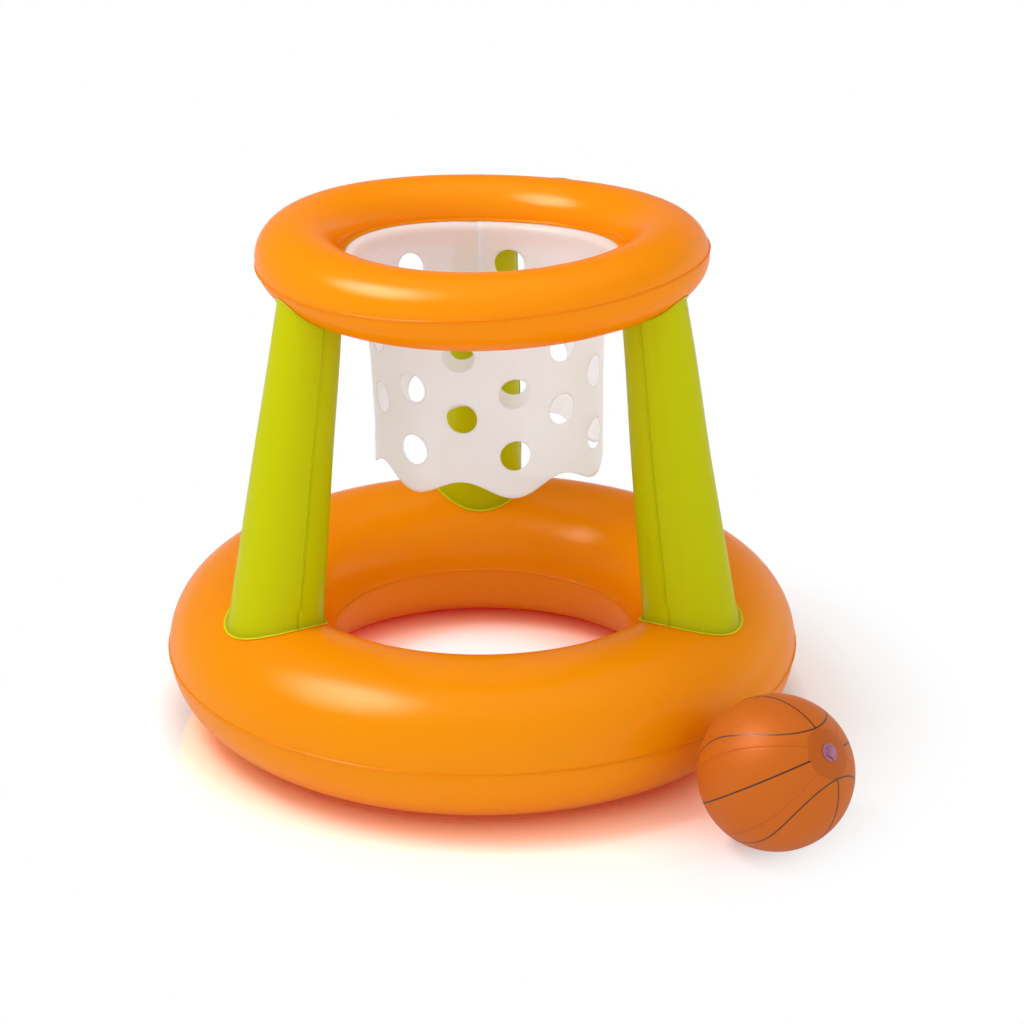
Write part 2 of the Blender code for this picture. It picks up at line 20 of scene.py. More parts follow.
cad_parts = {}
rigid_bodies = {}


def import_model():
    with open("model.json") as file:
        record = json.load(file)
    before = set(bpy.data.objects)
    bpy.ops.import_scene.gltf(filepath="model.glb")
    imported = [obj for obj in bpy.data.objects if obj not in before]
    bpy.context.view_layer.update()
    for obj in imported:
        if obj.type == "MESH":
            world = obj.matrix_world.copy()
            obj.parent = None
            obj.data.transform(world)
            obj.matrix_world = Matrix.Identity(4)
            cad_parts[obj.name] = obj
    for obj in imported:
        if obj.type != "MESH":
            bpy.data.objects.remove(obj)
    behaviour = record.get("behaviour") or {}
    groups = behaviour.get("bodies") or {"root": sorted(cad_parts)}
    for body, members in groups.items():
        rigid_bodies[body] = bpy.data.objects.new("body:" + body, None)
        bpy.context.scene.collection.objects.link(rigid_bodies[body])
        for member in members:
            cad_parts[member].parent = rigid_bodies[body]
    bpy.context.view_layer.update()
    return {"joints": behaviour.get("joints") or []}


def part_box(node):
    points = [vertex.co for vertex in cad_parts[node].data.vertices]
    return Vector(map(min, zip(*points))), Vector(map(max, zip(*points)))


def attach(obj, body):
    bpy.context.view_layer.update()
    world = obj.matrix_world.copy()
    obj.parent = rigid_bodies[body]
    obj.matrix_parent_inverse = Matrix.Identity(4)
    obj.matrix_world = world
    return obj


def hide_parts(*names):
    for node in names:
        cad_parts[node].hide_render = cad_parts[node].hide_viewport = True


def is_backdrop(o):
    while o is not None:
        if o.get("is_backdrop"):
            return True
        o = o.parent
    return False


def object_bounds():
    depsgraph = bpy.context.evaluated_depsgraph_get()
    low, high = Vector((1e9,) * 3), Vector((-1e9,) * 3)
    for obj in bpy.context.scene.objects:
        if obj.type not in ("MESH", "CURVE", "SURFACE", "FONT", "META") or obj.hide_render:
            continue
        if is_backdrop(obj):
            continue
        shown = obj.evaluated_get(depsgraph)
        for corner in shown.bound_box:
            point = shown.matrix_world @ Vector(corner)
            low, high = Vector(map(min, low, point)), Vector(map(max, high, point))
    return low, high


for old in list(bpy.data.objects):
    bpy.data.objects.remove(old, do_unlink=True)
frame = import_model()

# %% [markdown]
# ## Sizes
#
# The sizes are those of the packed solids, which are faceted. Here the same curves get many more
# steps. All are metres. The hoop's axis is the middle of the hoop ring's box.

# %% Name the sizes
film_thickness = 0.0003
weld_gap = 0.0003
seam_fin_width = 0.0015
base = {"radius": 0.249, "wide": 0.086, "high": 0.077, "centre": 0.0765, "fin": seam_fin_width}
hoop = {"radius": 0.188, "wide": 0.0425, "high": 0.0367, "centre": 0.493, "fin": 0.006}
base_rest_depth = 0.0005
ring_low, ring_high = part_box("hoop_ring_top_panel")
axis_x, axis_y = ((ring_low + ring_high) / 2).xy
axis_place = Vector((axis_x, axis_y, 0.0))
print("hoop axis", round(axis_x, 5), round(axis_y, 5))

# %% [markdown]
# ## Helpers for node trees
#
# Blender's Geometry Nodes and shader nodes are both trees of nodes. A small class keeps the
# building of a tree short: each call adds one node, fills its inputs and returns an output.

# %% A builder for node trees
class Tree:
    """A node tree that is being built."""

    def __init__(self, tree):
        self.tree = tree

    def add(self, kind, inputs=None, output=0, **settings):
        """Add a node, set its fields, then its inputs by name or number. Give one output."""
        node = self.tree.nodes.new(kind)
        for name, value in settings.items():
            setattr(node, name, value)
        for key, value in (inputs or {}).items():
            if isinstance(value, bpy.types.NodeSocket):
                self.tree.links.new(value, node.inputs[key])
            else:
                node.inputs[key].default_value = value
        return node.outputs[output]

    def math(self, operation, first, second=0.0):
        return self.add("ShaderNodeMath", {0: first, 1: second}, operation=operation)

    def plus(self, first, second):
        return self.math("ADD", first, second)

    def minus(self, first, second):
        return self.math("SUBTRACT", first, second)

    def times(self, first, second):
        return self.math("MULTIPLY", first, second)

    def over(self, first, second):
        return self.math("DIVIDE", first, second)

    def larger(self, first, second):
        return self.math("MAXIMUM", first, second)

    def mapped(self, value, low, high, to_low=0.0, to_high=1.0, smooth=False):
        """A value carried from one range to another, evenly or with soft ends."""
        kind = "SMOOTHSTEP" if smooth else "LINEAR"
        inputs = {0: value, 1: low, 2: high, 3: to_low, 4: to_high}
        return self.add("ShaderNodeMapRange", inputs, interpolation_type=kind)

    def mixed(self, share, first, second):
        """The first number at share 0, the second at share 1."""
        return self.add("ShaderNodeMix", {0: share, 2: first, 3: second})

    def blended(self, share, first, second):
        """The first colour at share 0, the second at share 1."""
        first, second = ((*c, 1.0) if isinstance(c, tuple) else c for c in (first, second))
        return self.add("ShaderNodeMix", {0: share, 6: first, 7: second}, 2, data_type="RGBA")

    def noise(self, place, scale, detail):
        return self.add("ShaderNodeTexNoise", {"Vector": place, "Scale": scale, "Detail": detail})

    def vector(self, operation, first, second=(0.0, 0.0, 0.0), output=0):
        return self.add("ShaderNodeVectorMath", {0: first, 1: second}, output, operation=operation)

    def scaled(self, vector, factor):
        return self.add("ShaderNodeVectorMath", {0: vector, "Scale": factor}, operation="SCALE")

    def grid(self, wide, high, across, up):
        """A flat grid with this many points across and up."""
        inputs = {"Size X": wide, "Size Y": high, "Vertices X": across, "Vertices Y": up}
        return self.add("GeometryNodeMeshGrid", inputs)

    def placed(self, geometry, position):
        return self.add("GeometryNodeSetPosition", {0: geometry, "Position": position})

    def parts(self, vector):
        """The X, Y and Z of a vector."""
        node = self.add("ShaderNodeSeparateXYZ", {0: vector}).node
        return node.outputs[0], node.outputs[1], node.outputs[2]

    def joined(self, x=0.0, y=0.0, z=0.0):
        return self.add("ShaderNodeCombineXYZ", {0: x, 1: y, 2: z})


print("tree calls", [name for name in vars(Tree) if not name.startswith("_")])

# %% [markdown]
# The ring films, the punched sheet, the gores and the printed lines each follow a rule, so
# Geometry Nodes make them. Each tree starts with one named input for each size and ends with real
# meshes and a material. A modifier runs the tree on an object, and its inputs are set by the
# identifiers of their sockets, because two sockets may share a name.

# %% Start, end and run a Geometry Nodes tree
def geometry_tree(name, sizes):
    """An empty Geometry Nodes tree with one named input for each size. Gives it and its inputs."""
    group = bpy.data.node_groups.new(name, "GeometryNodeTree")
    group.interface.new_socket("Geometry", in_out="OUTPUT", socket_type="NodeSocketGeometry")
    group.interface.new_socket("Geometry", in_out="INPUT", socket_type="NodeSocketGeometry")
    for label, value in sizes.items():
        kind = "NodeSocketInt" if isinstance(value, int) else "NodeSocketFloat"
        socket = group.interface.new_socket(label, in_out="INPUT", socket_type=kind)
        socket.default_value = value
    start = group.nodes.new("NodeGroupInput")
    return Tree(group), {socket.name: socket for socket in start.outputs if socket.name}


def tree_ends(tree, geometry, material):
    """End a tree with real meshes, smooth shading and its material."""
    real = tree.add("GeometryNodeRealizeInstances", {0: geometry})
    smooth = tree.add("GeometryNodeSetShadeSmooth", {0: real})
    dressed = tree.add("GeometryNodeSetMaterial", {0: smooth, "Material": material})
    end = tree.tree.nodes.new("NodeGroupOutput")
    tree.tree.links.new(dressed, end.inputs[0])


def run_tree(obj, tree, sizes):
    """Put a tree on an object, with its sizes set by their sockets' identifiers."""
    modifier = obj.modifiers.new("nodes", "NODES")
    modifier.node_group = tree.tree
    for item in tree.tree.interface.items_tree:
        if item.in_out == "INPUT" and item.name in sizes:
            modifier[item.identifier] = sizes[item.name]
    finished(obj)
    print(obj.name, "made by", len(tree.tree.nodes), "nodes")
    return obj


# %% [markdown]
# ## Helpers for meshes
#
# A film is built as an open surface first, then gets its thickness inwards. `finished` turns
# whatever the modifiers make into a plain mesh, because a piece has to keep its shape without
# them. Each piece ends at the origin, unturned, with its place in its own vertices.

# %% Mesh helpers
def new_piece(name, mesh, material=None):
    obj = bpy.data.objects.new(name, mesh)
    bpy.context.scene.collection.objects.link(obj)
    if material is not None:
        mesh.materials.clear()
        mesh.materials.append(material)
    return obj


def finished(obj):
    """Make an object's evaluated shape its own mesh, and drop its modifiers."""
    bpy.context.view_layer.update()
    graph = bpy.context.evaluated_depsgraph_get()
    mesh = bpy.data.meshes.new_from_object(obj.evaluated_get(graph), depsgraph=graph)
    obj.modifiers.clear()
    obj.data = mesh
    return obj


def grid_mesh(name, points, closed=False, values=None):
    """A smooth mesh through rows x columns of points. The columns can close on themselves."""
    points = np.asarray(points, float)
    rows, columns = points.shape[:2]
    number = np.arange(rows * columns).reshape(rows, columns)
    if closed:
        number = np.concatenate([number, number[:, :1]], axis=1)
    corners = [number[:-1, :-1], number[:-1, 1:], number[1:, 1:], number[1:, :-1]]
    faces = np.stack(corners, axis=-1).reshape(-1, 4)
    mesh = bpy.data.meshes.new(name)
    mesh.from_pydata(points.reshape(-1, 3).tolist(), [], faces.tolist())
    for label, data in (values or {}).items():
        attribute = mesh.attributes.new(label, "FLOAT", "POINT")
        attribute.data.foreach_set("value", np.asarray(data, np.float32).ravel())
    mesh.shade_smooth()
    mesh.update()
    return mesh


def moved(mesh, place):
    """Move a mesh's own points."""
    mesh.transform(Matrix.Translation(place))
    return mesh


def about_z(degrees):
    return Matrix.Rotation(math.radians(degrees), 4, "Z")


def merged(mesh, distance):
    """Join the points of a mesh that lie in one place."""
    shape = bmesh.new()
    shape.from_mesh(mesh)
    bmesh.ops.remove_doubles(shape, verts=shape.verts, dist=distance)
    shape.to_mesh(mesh)
    shape.free()
    return mesh


def points_of(obj):
    """An object's points as rows of X, Y and Z."""
    points = np.zeros(len(obj.data.vertices) * 3)
    obj.data.vertices.foreach_get("co", points)
    return points.reshape(-1, 3)


def put_points(obj, points):
    obj.data.vertices.foreach_set("co", np.asarray(points, float).ravel())
    obj.data.update()


def thicken(obj, thickness):
    """Give an open film its thickness, on the side away from its normals."""
    wall = obj.modifiers.new("film", "SOLIDIFY")
    wall.thickness = thickness
    wall.offset = -1.0
    return finished(obj)


def smooth_step(value):
    value = np.clip(value, 0.0, 1.0)
    return value * value * (3 - 2 * value)


def kept(piece, body, slot, *nodes):
    """Put a finished piece on its body and hide the nodes it stands for. The slot is not used."""
    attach(piece, body)
    if nodes:
        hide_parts(*nodes)
    print(piece.name, len(piece.data.polygons), "faces")
    return piece


# %% [markdown]
# ## Vinyl
#
# The films are plasticised vinyl: a smooth face with a clear reflection, and a body that light
# goes into and leaves again on the other side. Red light passes the orange film almost freely and
# green light doesn't, which is why the shaded sides glow a deeper orange than the lit ones. A
# Principled shader gives the face, and a Translucent one mixed with it lets light through. The
# small unevenness of calendered film is a bump at two scales, and the colour drifts a little.

# %% Build the vinyls
# How far the marked colour goes towards a darker deep colour: painted shade on the posts' feet,
# and the pole discs' own deeper tone.
crease_shade = 0.55
drift_scale = 7.0
drift_range = (0.3, 0.7)
gloss_spread = 0.15
peel_scale = 420.0
peel_strength = 0.06
peel_depth = 0.0005
sway_scale = 38.0
sway_depth = 0.001
vinyl_index = 1.52


def vinyl(name, colour, deep, glow, through, roughness, bump, shine, weld_tint_and_highlight, alpha=1.0):
    """A vinyl with a drifting colour.

    Its weld colour goes where the mesh marks welds: the ball's own seam tint, and a brighter
    painted highlight on the posts' flange rims and the net's rim band. A darker colour goes
    where it marks shade or tone: painted shade above the posts' foot rims, and the pole
    discs' own deeper tone."""
    material = bpy.data.materials.new(name)
    material.use_nodes = True
    tree = Tree(material.node_tree)
    material.node_tree.nodes.clear()
    place = tree.add("ShaderNodeTexCoord", output=3)
    drift = tree.noise(place, drift_scale, 2.0)
    tone = tree.blended(drift, colour, deep)
    weld = tree.add("ShaderNodeAttribute", output=2, attribute_name="weld")
    tone = tree.blended(weld, tone, weld_tint_and_highlight)
    crease = tree.add("ShaderNodeAttribute", output=2, attribute_name="crease")
    tone = tree.blended(crease, tone, tuple(value * crease_shade for value in deep))
    peel = tree.noise(place, peel_scale, 1.0)
    sway = tree.noise(place, sway_scale, 1.0)
    inputs = {"Height": peel, "Strength": peel_strength, "Distance": peel_depth}
    fine = tree.add("ShaderNodeBump", inputs)
    inputs = {"Height": sway, "Strength": bump, "Distance": sway_depth, "Normal": fine}
    bumps = tree.add("ShaderNodeBump", inputs)
    least_gloss = roughness * (1 - gloss_spread)
    gloss = tree.mapped(drift, *drift_range, least_gloss, roughness * (1 + gloss_spread))
    inputs = {"Base Color": tone, "Roughness": gloss, "Normal": bumps, "IOR": vinyl_index}
    inputs |= {"Alpha": alpha, "Specular IOR Level": shine}
    face = tree.add("ShaderNodeBsdfPrincipled", inputs)
    body = tree.add("ShaderNodeBsdfTranslucent", {"Color": (*glow, 1.0), "Normal": bumps})
    face = tree.add("ShaderNodeMixShader", {0: through, 1: face, 2: body})
    end = tree.tree.nodes.new("ShaderNodeOutputMaterial")
    tree.tree.links.new(face, end.inputs[0])
    return material


orange_vinyl = vinyl(
    "orange_film", (1.0, 0.52, 0.003), (0.99, 0.48, 0.002), (1.0, 0.24, 0.002),
    through=0.52, roughness=0.22, bump=0.10, shine=0.2, weld_tint_and_highlight=(1.0, 0.46, 0.01),
)
# The lime's brighter yellow weld colour is a painted highlight on the posts' lit flange rims.
lime_vinyl = vinyl(
    "lime_film", (0.70, 0.72, 0.002), (0.66, 0.68, 0.001), (0.70, 0.72, 0.002),
    through=0.38, roughness=0.28, bump=0.16, shine=0.07, weld_tint_and_highlight=(0.93, 0.88, 0.02),
)
# The net's whiter weld colour is a painted highlight on its bent rim band.
net_vinyl = vinyl(
    "net_film", (0.95, 0.965, 0.99), (0.93, 0.945, 0.975), (0.95, 0.97, 0.99),
    through=0.5, roughness=0.35, bump=0.12, shine=0.3, weld_tint_and_highlight=(0.98, 0.98, 0.98), alpha=0.55,
)
ball_vinyl = vinyl(
    "ball_film", (0.62, 0.14, 0.007), (0.58, 0.125, 0.005), (0.66, 0.12, 0.006),
    through=0.15, roughness=0.48, bump=0.10, shine=0.2, weld_tint_and_highlight=(0.58, 0.12, 0.008),
)
print("vinyls made")

# %% [markdown]
# ## The two rings
#
# Each ring is two films, an upper and a lower one, welded along their outer and inner seams. The
# cross-section is an ellipse, and the ring is that curve turned about the hoop's axis, which is a
# rule, so nodes make it: a flat grid has one row for each point of the profile, and each vertex
# looks up its profile point and turns it by its column's angle. At a seam the film is pulled into
# a flat fin, and next to the fin it puckers, most on the inner seam, where the flat-cut film has
# length to spare. The profile carries that slack as a value, and a noise that runs round the ring
# turns it into shallow puckers.

# %% Ring film nodes
ring_join_distance = 0.00002
ring_pucker_detail = 1.5
ring_sizes = {"Steps": 420, "Rows": 40, "Pucker Height": 0.0006, "Pucker Scale": 9.0, "Seed": 1}


def ring_nodes(material):
    """The tree that turns a profile into a ring film."""
    tree, size = geometry_tree("ring_film", ring_sizes)
    columns = tree.plus(size["Steps"], 1.0)
    sheet = tree.add("GeometryNodeMeshGrid", {"Vertices X": columns, "Vertices Y": size["Rows"]})
    index = tree.add("GeometryNodeInputIndex")
    row = tree.math("MODULO", index, size["Rows"])
    column = tree.math("FLOOR", tree.over(tree.plus(index, 0.5), size["Rows"]))
    turn = tree.over(tree.times(column, math.tau), size["Steps"])
    spot = tree.add("GeometryNodeInputPosition")
    found = {0: size["Geometry"], "Index": row}
    profile = tree.add("GeometryNodeSampleIndex", {**found, 1: spot}, data_type="FLOAT_VECTOR")
    carried = tree.add("GeometryNodeInputNamedAttribute", {"Name": "slack"})
    slack = tree.add("GeometryNodeSampleIndex", {**found, 1: carried}, data_type="FLOAT")
    radius, _, height = tree.parts(profile)
    x = tree.times(radius, tree.math("COSINE", turn))
    y = tree.times(radius, tree.math("SINE", turn))
    inputs = {0: sheet, "Name": "slack", "Value": slack}
    ring = tree.add("GeometryNodeStoreNamedAttribute", inputs)
    ring = tree.placed(ring, tree.joined(x, y, height))
    ring = tree.add("GeometryNodeMergeByDistance", {0: ring, "Distance": ring_join_distance})
    flat = tree.vector("MULTIPLY", spot, (1.0, 1.0, 0.0))
    round_it = tree.vector("NORMALIZE", flat)
    inputs = {"Vector": round_it, "W": size["Seed"], "Scale": size["Pucker Scale"]}
    inputs["Detail"] = ring_pucker_detail
    ripple = tree.add("ShaderNodeTexNoise", inputs, noise_dimensions="4D")
    depth = tree.times(tree.minus(ripple, 0.5), size["Pucker Height"])
    depth = tree.times(depth, carried)
    offset = tree.scaled(tree.add("GeometryNodeInputNormal"), depth)
    ring = tree.add("GeometryNodeSetPosition", {0: ring, "Offset": offset})
    tree_ends(tree, ring, material)
    return tree


ring_film_tree = ring_nodes(orange_vinyl)
print("ring tree inputs", list(ring_sizes))

# %% [markdown]
# The profile runs from the outer fin over the crown to the inner fin. Its points stand closest at
# the seams and at the crown. The lower film is the same profile upside down, and the base ring's
# is pressed flat where it stands.

# %% Ring profiles
arc_steps = 52
seam_crowding = 0.05
slack_reach = 0.008
outer_slack_share = 0.3


def ring_profile(sizes, side, rest_height=None):
    """Points (radius, height above the ring's centre) of one film, and the slack at each."""
    seam = weld_gap / 2 + film_thickness
    share = np.linspace(0.0, 1.0, arc_steps + 1)
    eased = share - seam_crowding * np.sin(4 * np.pi * share)
    start = math.asin(seam / sizes["high"])
    angle = start + (np.pi - 2 * start) * eased
    radius = sizes["radius"] + sizes["wide"] * np.cos(angle)
    height = sizes["high"] * np.sin(angle)
    if rest_height is not None:
        height = np.minimum(height, rest_height)
    step = np.hypot(np.diff(radius), np.diff(height))
    from_outer = np.concatenate([[0.0], np.cumsum(step)])
    from_inner = from_outer[-1] - from_outer
    slack = from_inner / slack_reach * np.exp(1 - from_inner / slack_reach)
    slack += outer_slack_share * from_outer / slack_reach * np.exp(1 - from_outer / slack_reach)
    outer = radius[0] + seam_fin_width * np.array([1.0, 0.5])
    inner = radius[-1] - sizes["fin"] * np.array([0.5, 1.0])
    radius = np.concatenate([outer, radius, inner])
    height = np.concatenate([[seam, seam], height, [seam, seam]])
    slack = np.concatenate([[0.0, 0.0], slack, [0.0, 0.0]])
    points = np.column_stack([radius, np.zeros_like(radius), height * side])
    if side < 0:
        points, slack = points[::-1], slack[::-1]
    return points, slack


def ring_film(name, sizes, side, rest_height=None, **nodes):
    """One film of a ring, open, in its place."""
    points, slack = ring_profile(sizes, side, rest_height)
    mesh = bpy.data.meshes.new(name)
    edges = [(i, i + 1) for i in range(len(points) - 1)]
    mesh.from_pydata(points.tolist(), edges, [])
    mesh.attributes.new("slack", "FLOAT", "POINT").data.foreach_set("value", slack)
    film = new_piece(name, mesh)
    run_tree(film, ring_film_tree, {**ring_sizes, **nodes, "Rows": len(points)})
    moved(film.data, axis_place + Vector((0.0, 0.0, sizes["centre"])))
    return film


base_top = ring_film("base_top_film", base, 1.0, Seed=3)
base_bottom = ring_film("base_bottom_film", base, -1.0, base["high"] - base_rest_depth, Seed=4)
hoop_steps = 320
hoop_top = ring_film("hoop_top_film", hoop, 1.0, Steps=hoop_steps, Seed=5)
hoop_bottom = ring_film("hoop_bottom_film", hoop, -1.0, Steps=hoop_steps, Seed=6)
for film in (base_top, base_bottom, hoop_top, hoop_bottom):
    crown = max(film.data.polygons, key=lambda f: abs(f.center.z - film.data.polygons[0].center.z))
    print(film.name, "normal at the crown", round(crown.normal.z, 2))

# %% [markdown]
# The hoop ring isn't flat. The three posts and the net pull on it, so it rises a few millimetres
# at its sides, and its outer seam wanders up and down as the tube rolls. Both were read
# off the photograph as slow waves round the ring. One function moves whatever is given to it, so
# the net and the heads of the posts can follow the ring later.

# %% Warp the hoop ring
hoop_shift = 0.0015
hoop_rise = 0.0026
hoop_rise_waves = ((1, 0.0006, 0.0002), (2, 0.0032, -0.0018))
seam_roll = -0.0231
seam_roll_wave = (0.2186, -0.1434)
seam_roll_reach = math.radians(80.0)


def warp(obj, share=None, rolls=True):
    """Move a piece as the hoop ring is warped, by a share that depends on the height."""
    points = points_of(obj)
    place = points - np.array(axis_place)
    turn = np.arctan2(place[:, 1], place[:, 0])
    out = (np.hypot(place[:, 0], place[:, 1]) - hoop["radius"]) / hoop["wide"]
    angle = np.arctan2((place[:, 2] - hoop["centre"]) / hoop["high"], out)
    roll = seam_roll + seam_roll_wave[0] * np.cos(turn) + seam_roll_wave[1] * np.sin(turn)
    rolled = angle + rolls * roll * smooth_step(1 - np.abs(angle) / seam_roll_reach)
    outwards = hoop["wide"] * (np.cos(rolled) - np.cos(angle))
    rise = hoop_rise + hoop["high"] * (np.sin(rolled) - np.sin(angle))
    for count, across, along in hoop_rise_waves:
        rise = rise + across * np.cos(count * turn) + along * np.sin(count * turn)
    move = np.column_stack([outwards * np.cos(turn) + hoop_shift, outwards * np.sin(turn), rise])
    reach = 1.0 if share is None else share(points[:, 2])[:, None]
    put_points(obj, points + move * reach)
    return move


for film in (hoop_top, hoop_bottom):
    most = np.linalg.norm(warp(film), axis=1).max()
    print(film.name, "moves at most", round(most * 1000, 1), "mm")

# %% [markdown]
# ## Valve seats
#
# Each chamber has a valve: a tinted flange welded over a hole in the film, a stem that is pushed
# in flush, a plug and a check flap. The flange is stiffer than the film, so the film lies flat
# under it and swells to its full curve only some way out. The packed joints say which way each
# valve points, and its flange says where it sits.

# %% Flatten the films under the valves and cut their holes
valve_flange_radius = 0.009
valve_flange_thickness = 0.0008
valve_hole_radius = 0.0063
seat_flat_radius = 0.0115
seat_blend_width = 0.010
seat_depth = 0.02
valve_cut_depth = 0.008
hole_sides = 48
joint_axes = {joint["name"]: Vector(joint["axis"]) for joint in frame["joints"]}


def valve_seat(prefix):
    """The matrix of a valve's seat: its origin on the film's face, its Z out of the film."""
    out = joint_axes[f"{prefix}_stem_push"].normalized()
    low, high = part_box(f"{prefix}_valve_flange")
    spot = (low + high) / 2 - out * (weld_gap + valve_flange_thickness / 2)
    turn = Matrix.Rotation(math.atan2(out.y, out.x), 4, "Z")
    tilt = Matrix.Rotation(math.acos(out.z), 4, "Y")
    return Matrix.Translation(spot) @ turn @ tilt


def flatten_at(obj, seat):
    """Press a film flat round a valve."""
    points = points_of(obj)
    spot = np.array(seat.translation)
    out = np.array(seat.col[2][:3])
    height = (points - spot) @ out
    away = np.linalg.norm(points - spot - np.outer(height, out), axis=1)
    near = (1 - smooth_step((away - seat_flat_radius) / seat_blend_width)) * (height > -seat_depth)
    put_points(obj, points - np.outer(height * near, out))


def cut_round(obj, radius, depth, matrices):
    """Cut a round hole through a film for each matrix, along its Z."""
    shape = bmesh.new()
    for matrix in matrices:
        sizes = {"segments": hole_sides, "radius1": radius, "radius2": radius, "depth": depth}
        bmesh.ops.create_cone(shape, cap_ends=True, matrix=matrix, **sizes)
    mesh = bpy.data.meshes.new("cutter")
    shape.to_mesh(mesh)
    shape.free()
    cutter = new_piece("cutter", mesh)
    hole = obj.modifiers.new("hole", "BOOLEAN")
    hole.solver = "EXACT"
    hole.object = cutter
    finished(obj)
    bpy.data.objects.remove(cutter)


seats = {prefix: valve_seat(prefix) for prefix in ("base", "hoop", "ball")}
for prefix, film in (("base", base_top), ("hoop", hoop_top)):
    flatten_at(film, seats[prefix])
    thicken(film, film_thickness)
    cut_round(film, valve_hole_radius, valve_cut_depth, [seats[prefix]])
thicken(base_bottom, film_thickness)
thicken(hoop_bottom, film_thickness)
kept(base_top, "stand", "orange_vinyl", "base_ring_top_panel")
kept(base_bottom, "stand", "orange_vinyl", "base_ring_bottom_panel")
kept(hoop_top, "stand", "orange_vinyl", "hoop_ring_top_panel")

# %% [markdown]
# ## The posts
#
# A post is an outer and an inner film, welded along both sides into a slightly tapering tube. At
# its foot the tube flares onto the base ring and ends in a flange that is welded flat on the
# ring. At its head a narrow flange is welded under the hoop ring. Each line of the tube runs
# straight from one ring to the other, so a search along it finds where it meets them. Points on
# lines make a grid, and the film is the mesh through it. Shallow puckers run up from the foot
# and down from the head, where the round tube was forced onto a curved seam.

# %% Post lines
post_azimuths = {"left": 210.0, "right": 330.0, "rear": 90.0}
post_leans = {"left": (0.0, 0.0), "right": (-0.004, 0.0), "rear": (0.0, -0.0065)}
post_foot_radius = 0.0483
post_foot_inset = 0.0054
post_head_outer_margin = 0.0056
post_head_inner_margin = 0.0165
post_flare = 0.0018
post_flare_height = 0.016
post_flange_width = 0.0032
post_seat_gap = 0.0006
post_seat = post_seat_gap + film_thickness
post_seam_fin = 0.0012
post_seam_gap = 0.00008
# The foot's painted shade in the hollow of the flare, and the rows whose rim gets painted highlight.
foot_crease = 0.7
foot_weld_share = (0.25, 0.55)
foot_crease_share = 0.6
foot_crease_fall = 3
post_columns = 40
post_rows = 44
flare_rows = 8
post_middle_radius = 0.22
search_steps = 40
above_base = 0.3
below_hoop = 0.4
pucker_height = 0.0005
pucker_reach = 0.045
pucker_waves = (7, 11, 16, 23)
pucker_fall = 1.6
head_calm = 6
post_join_distance = 0.00003
post_warp_low = 0.3
post_warp_rise = 0.13


def post_point(lean, turn, height, spread=0.0):
    """Points of the post that stands along +X, at turns about its own axis.

    Its head leans outwards and sideways by the two lengths of lean."""
    foot_height = base["centre"] + base["high"]
    head_axis = hoop["radius"] + (post_head_inner_margin - post_head_outer_margin) / 2
    head_radius = hoop["wide"] - (post_head_inner_margin + post_head_outer_margin) / 2
    climb = (height - foot_height) / (hoop["centre"] - foot_height)
    axis = base["radius"] - post_foot_inset
    axis = axis + (head_axis + lean[0] - axis) * climb
    radius = post_foot_radius + (head_radius - post_foot_radius) * climb + spread
    height = np.broadcast_to(height, np.shape(turn))
    across = radius * np.sin(turn) + lean[1] * climb
    return np.stack([axis + radius * np.cos(turn), across, height], axis=-1)


def inside_ring(sizes, points):
    out = np.hypot(points[..., 0], points[..., 1]) - sizes["radius"]
    up = points[..., 2] - sizes["centre"]
    return (out / (sizes["wide"] + post_seat)) ** 2 + (up / (sizes["high"] + post_seat)) ** 2 < 1


def meeting(lean, sizes, turn, outside):
    """The heights at which the post's lines meet a ring."""
    low = np.full_like(turn, sizes["centre"])
    high = np.full_like(turn, outside)
    for _ in range(search_steps):
        middle = (low + high) / 2
        within = inside_ring(sizes, post_point(lean, turn, middle))
        low = np.where(within, middle, low)
        high = np.where(within, high, middle)
    return (low + high) / 2


def on_ring(sizes, points, turn, distance, lift=0.0):
    """Points moved away from the post along a ring's face, and lifted off it."""
    out = np.hypot(points[..., 0], points[..., 1])
    round_it = points * [1.0, 1.0, 0.0] / out[..., None]
    wide = sizes["wide"] + post_seat
    high = sizes["high"] + post_seat
    up = (points[..., 2] - sizes["centre"]) / high**2
    normal = round_it * ((out - sizes["radius"]) / wide**2)[..., None]
    normal[..., 2] = up
    normal /= np.linalg.norm(normal, axis=-1, keepdims=True)
    away = np.stack([np.cos(turn), np.sin(turn), np.zeros_like(turn)], axis=-1)
    away -= normal * (away * normal).sum(-1, keepdims=True)
    away /= np.linalg.norm(away, axis=-1, keepdims=True)
    point = points + away * distance
    out = np.hypot(point[..., 0], point[..., 1])
    angle = np.arctan2((point[..., 2] - sizes["centre"]) / high, (out - sizes["radius"]) / wide)
    radius = sizes["radius"] + (wide + lift) * np.cos(angle)
    placed = point * [1.0, 1.0, 0.0] / out[..., None] * radius[..., None]
    placed[..., 2] = sizes["centre"] + (high + lift) * np.sin(angle)
    return placed


print("foot heights", meeting((0.0, 0.0), base, np.linspace(0.0, np.pi, 5), above_base).round(4))

# %% [markdown]
# A post's film is a grid of points. Its first rows climb the foot flange, from the welded rim to
# the tube, with a thin bead of squeezed vinyl near the rim. The next rows turn up into the tube,
# the long rows follow its lines, and the last ones lie under the hoop ring. Both side seams end in
# a small fin. Each row also says how far its film is welded, for a brighter yellow that is painted
# highlight on the rims, and how much painted shade darkens the hollow just inside the foot's rim.

# %% Post films
flange_bead = 0.0008
bead_place = 0.74
bead_width = 0.2
foot_flange_shares = (1.0, 0.9, 0.78, 0.64, 0.48, 0.3, 0.15, 0.0)
head_flange_shares = (0.35, 0.7, 1.0)


def puckers(turn, seed):
    """A ripple round a post that never repeats exactly."""
    draw = np.random.default_rng(seed)
    waves = [np.sin(count * turn + draw.uniform(0, 7)) for count in pucker_waves]
    return sum(waves) / len(waves)


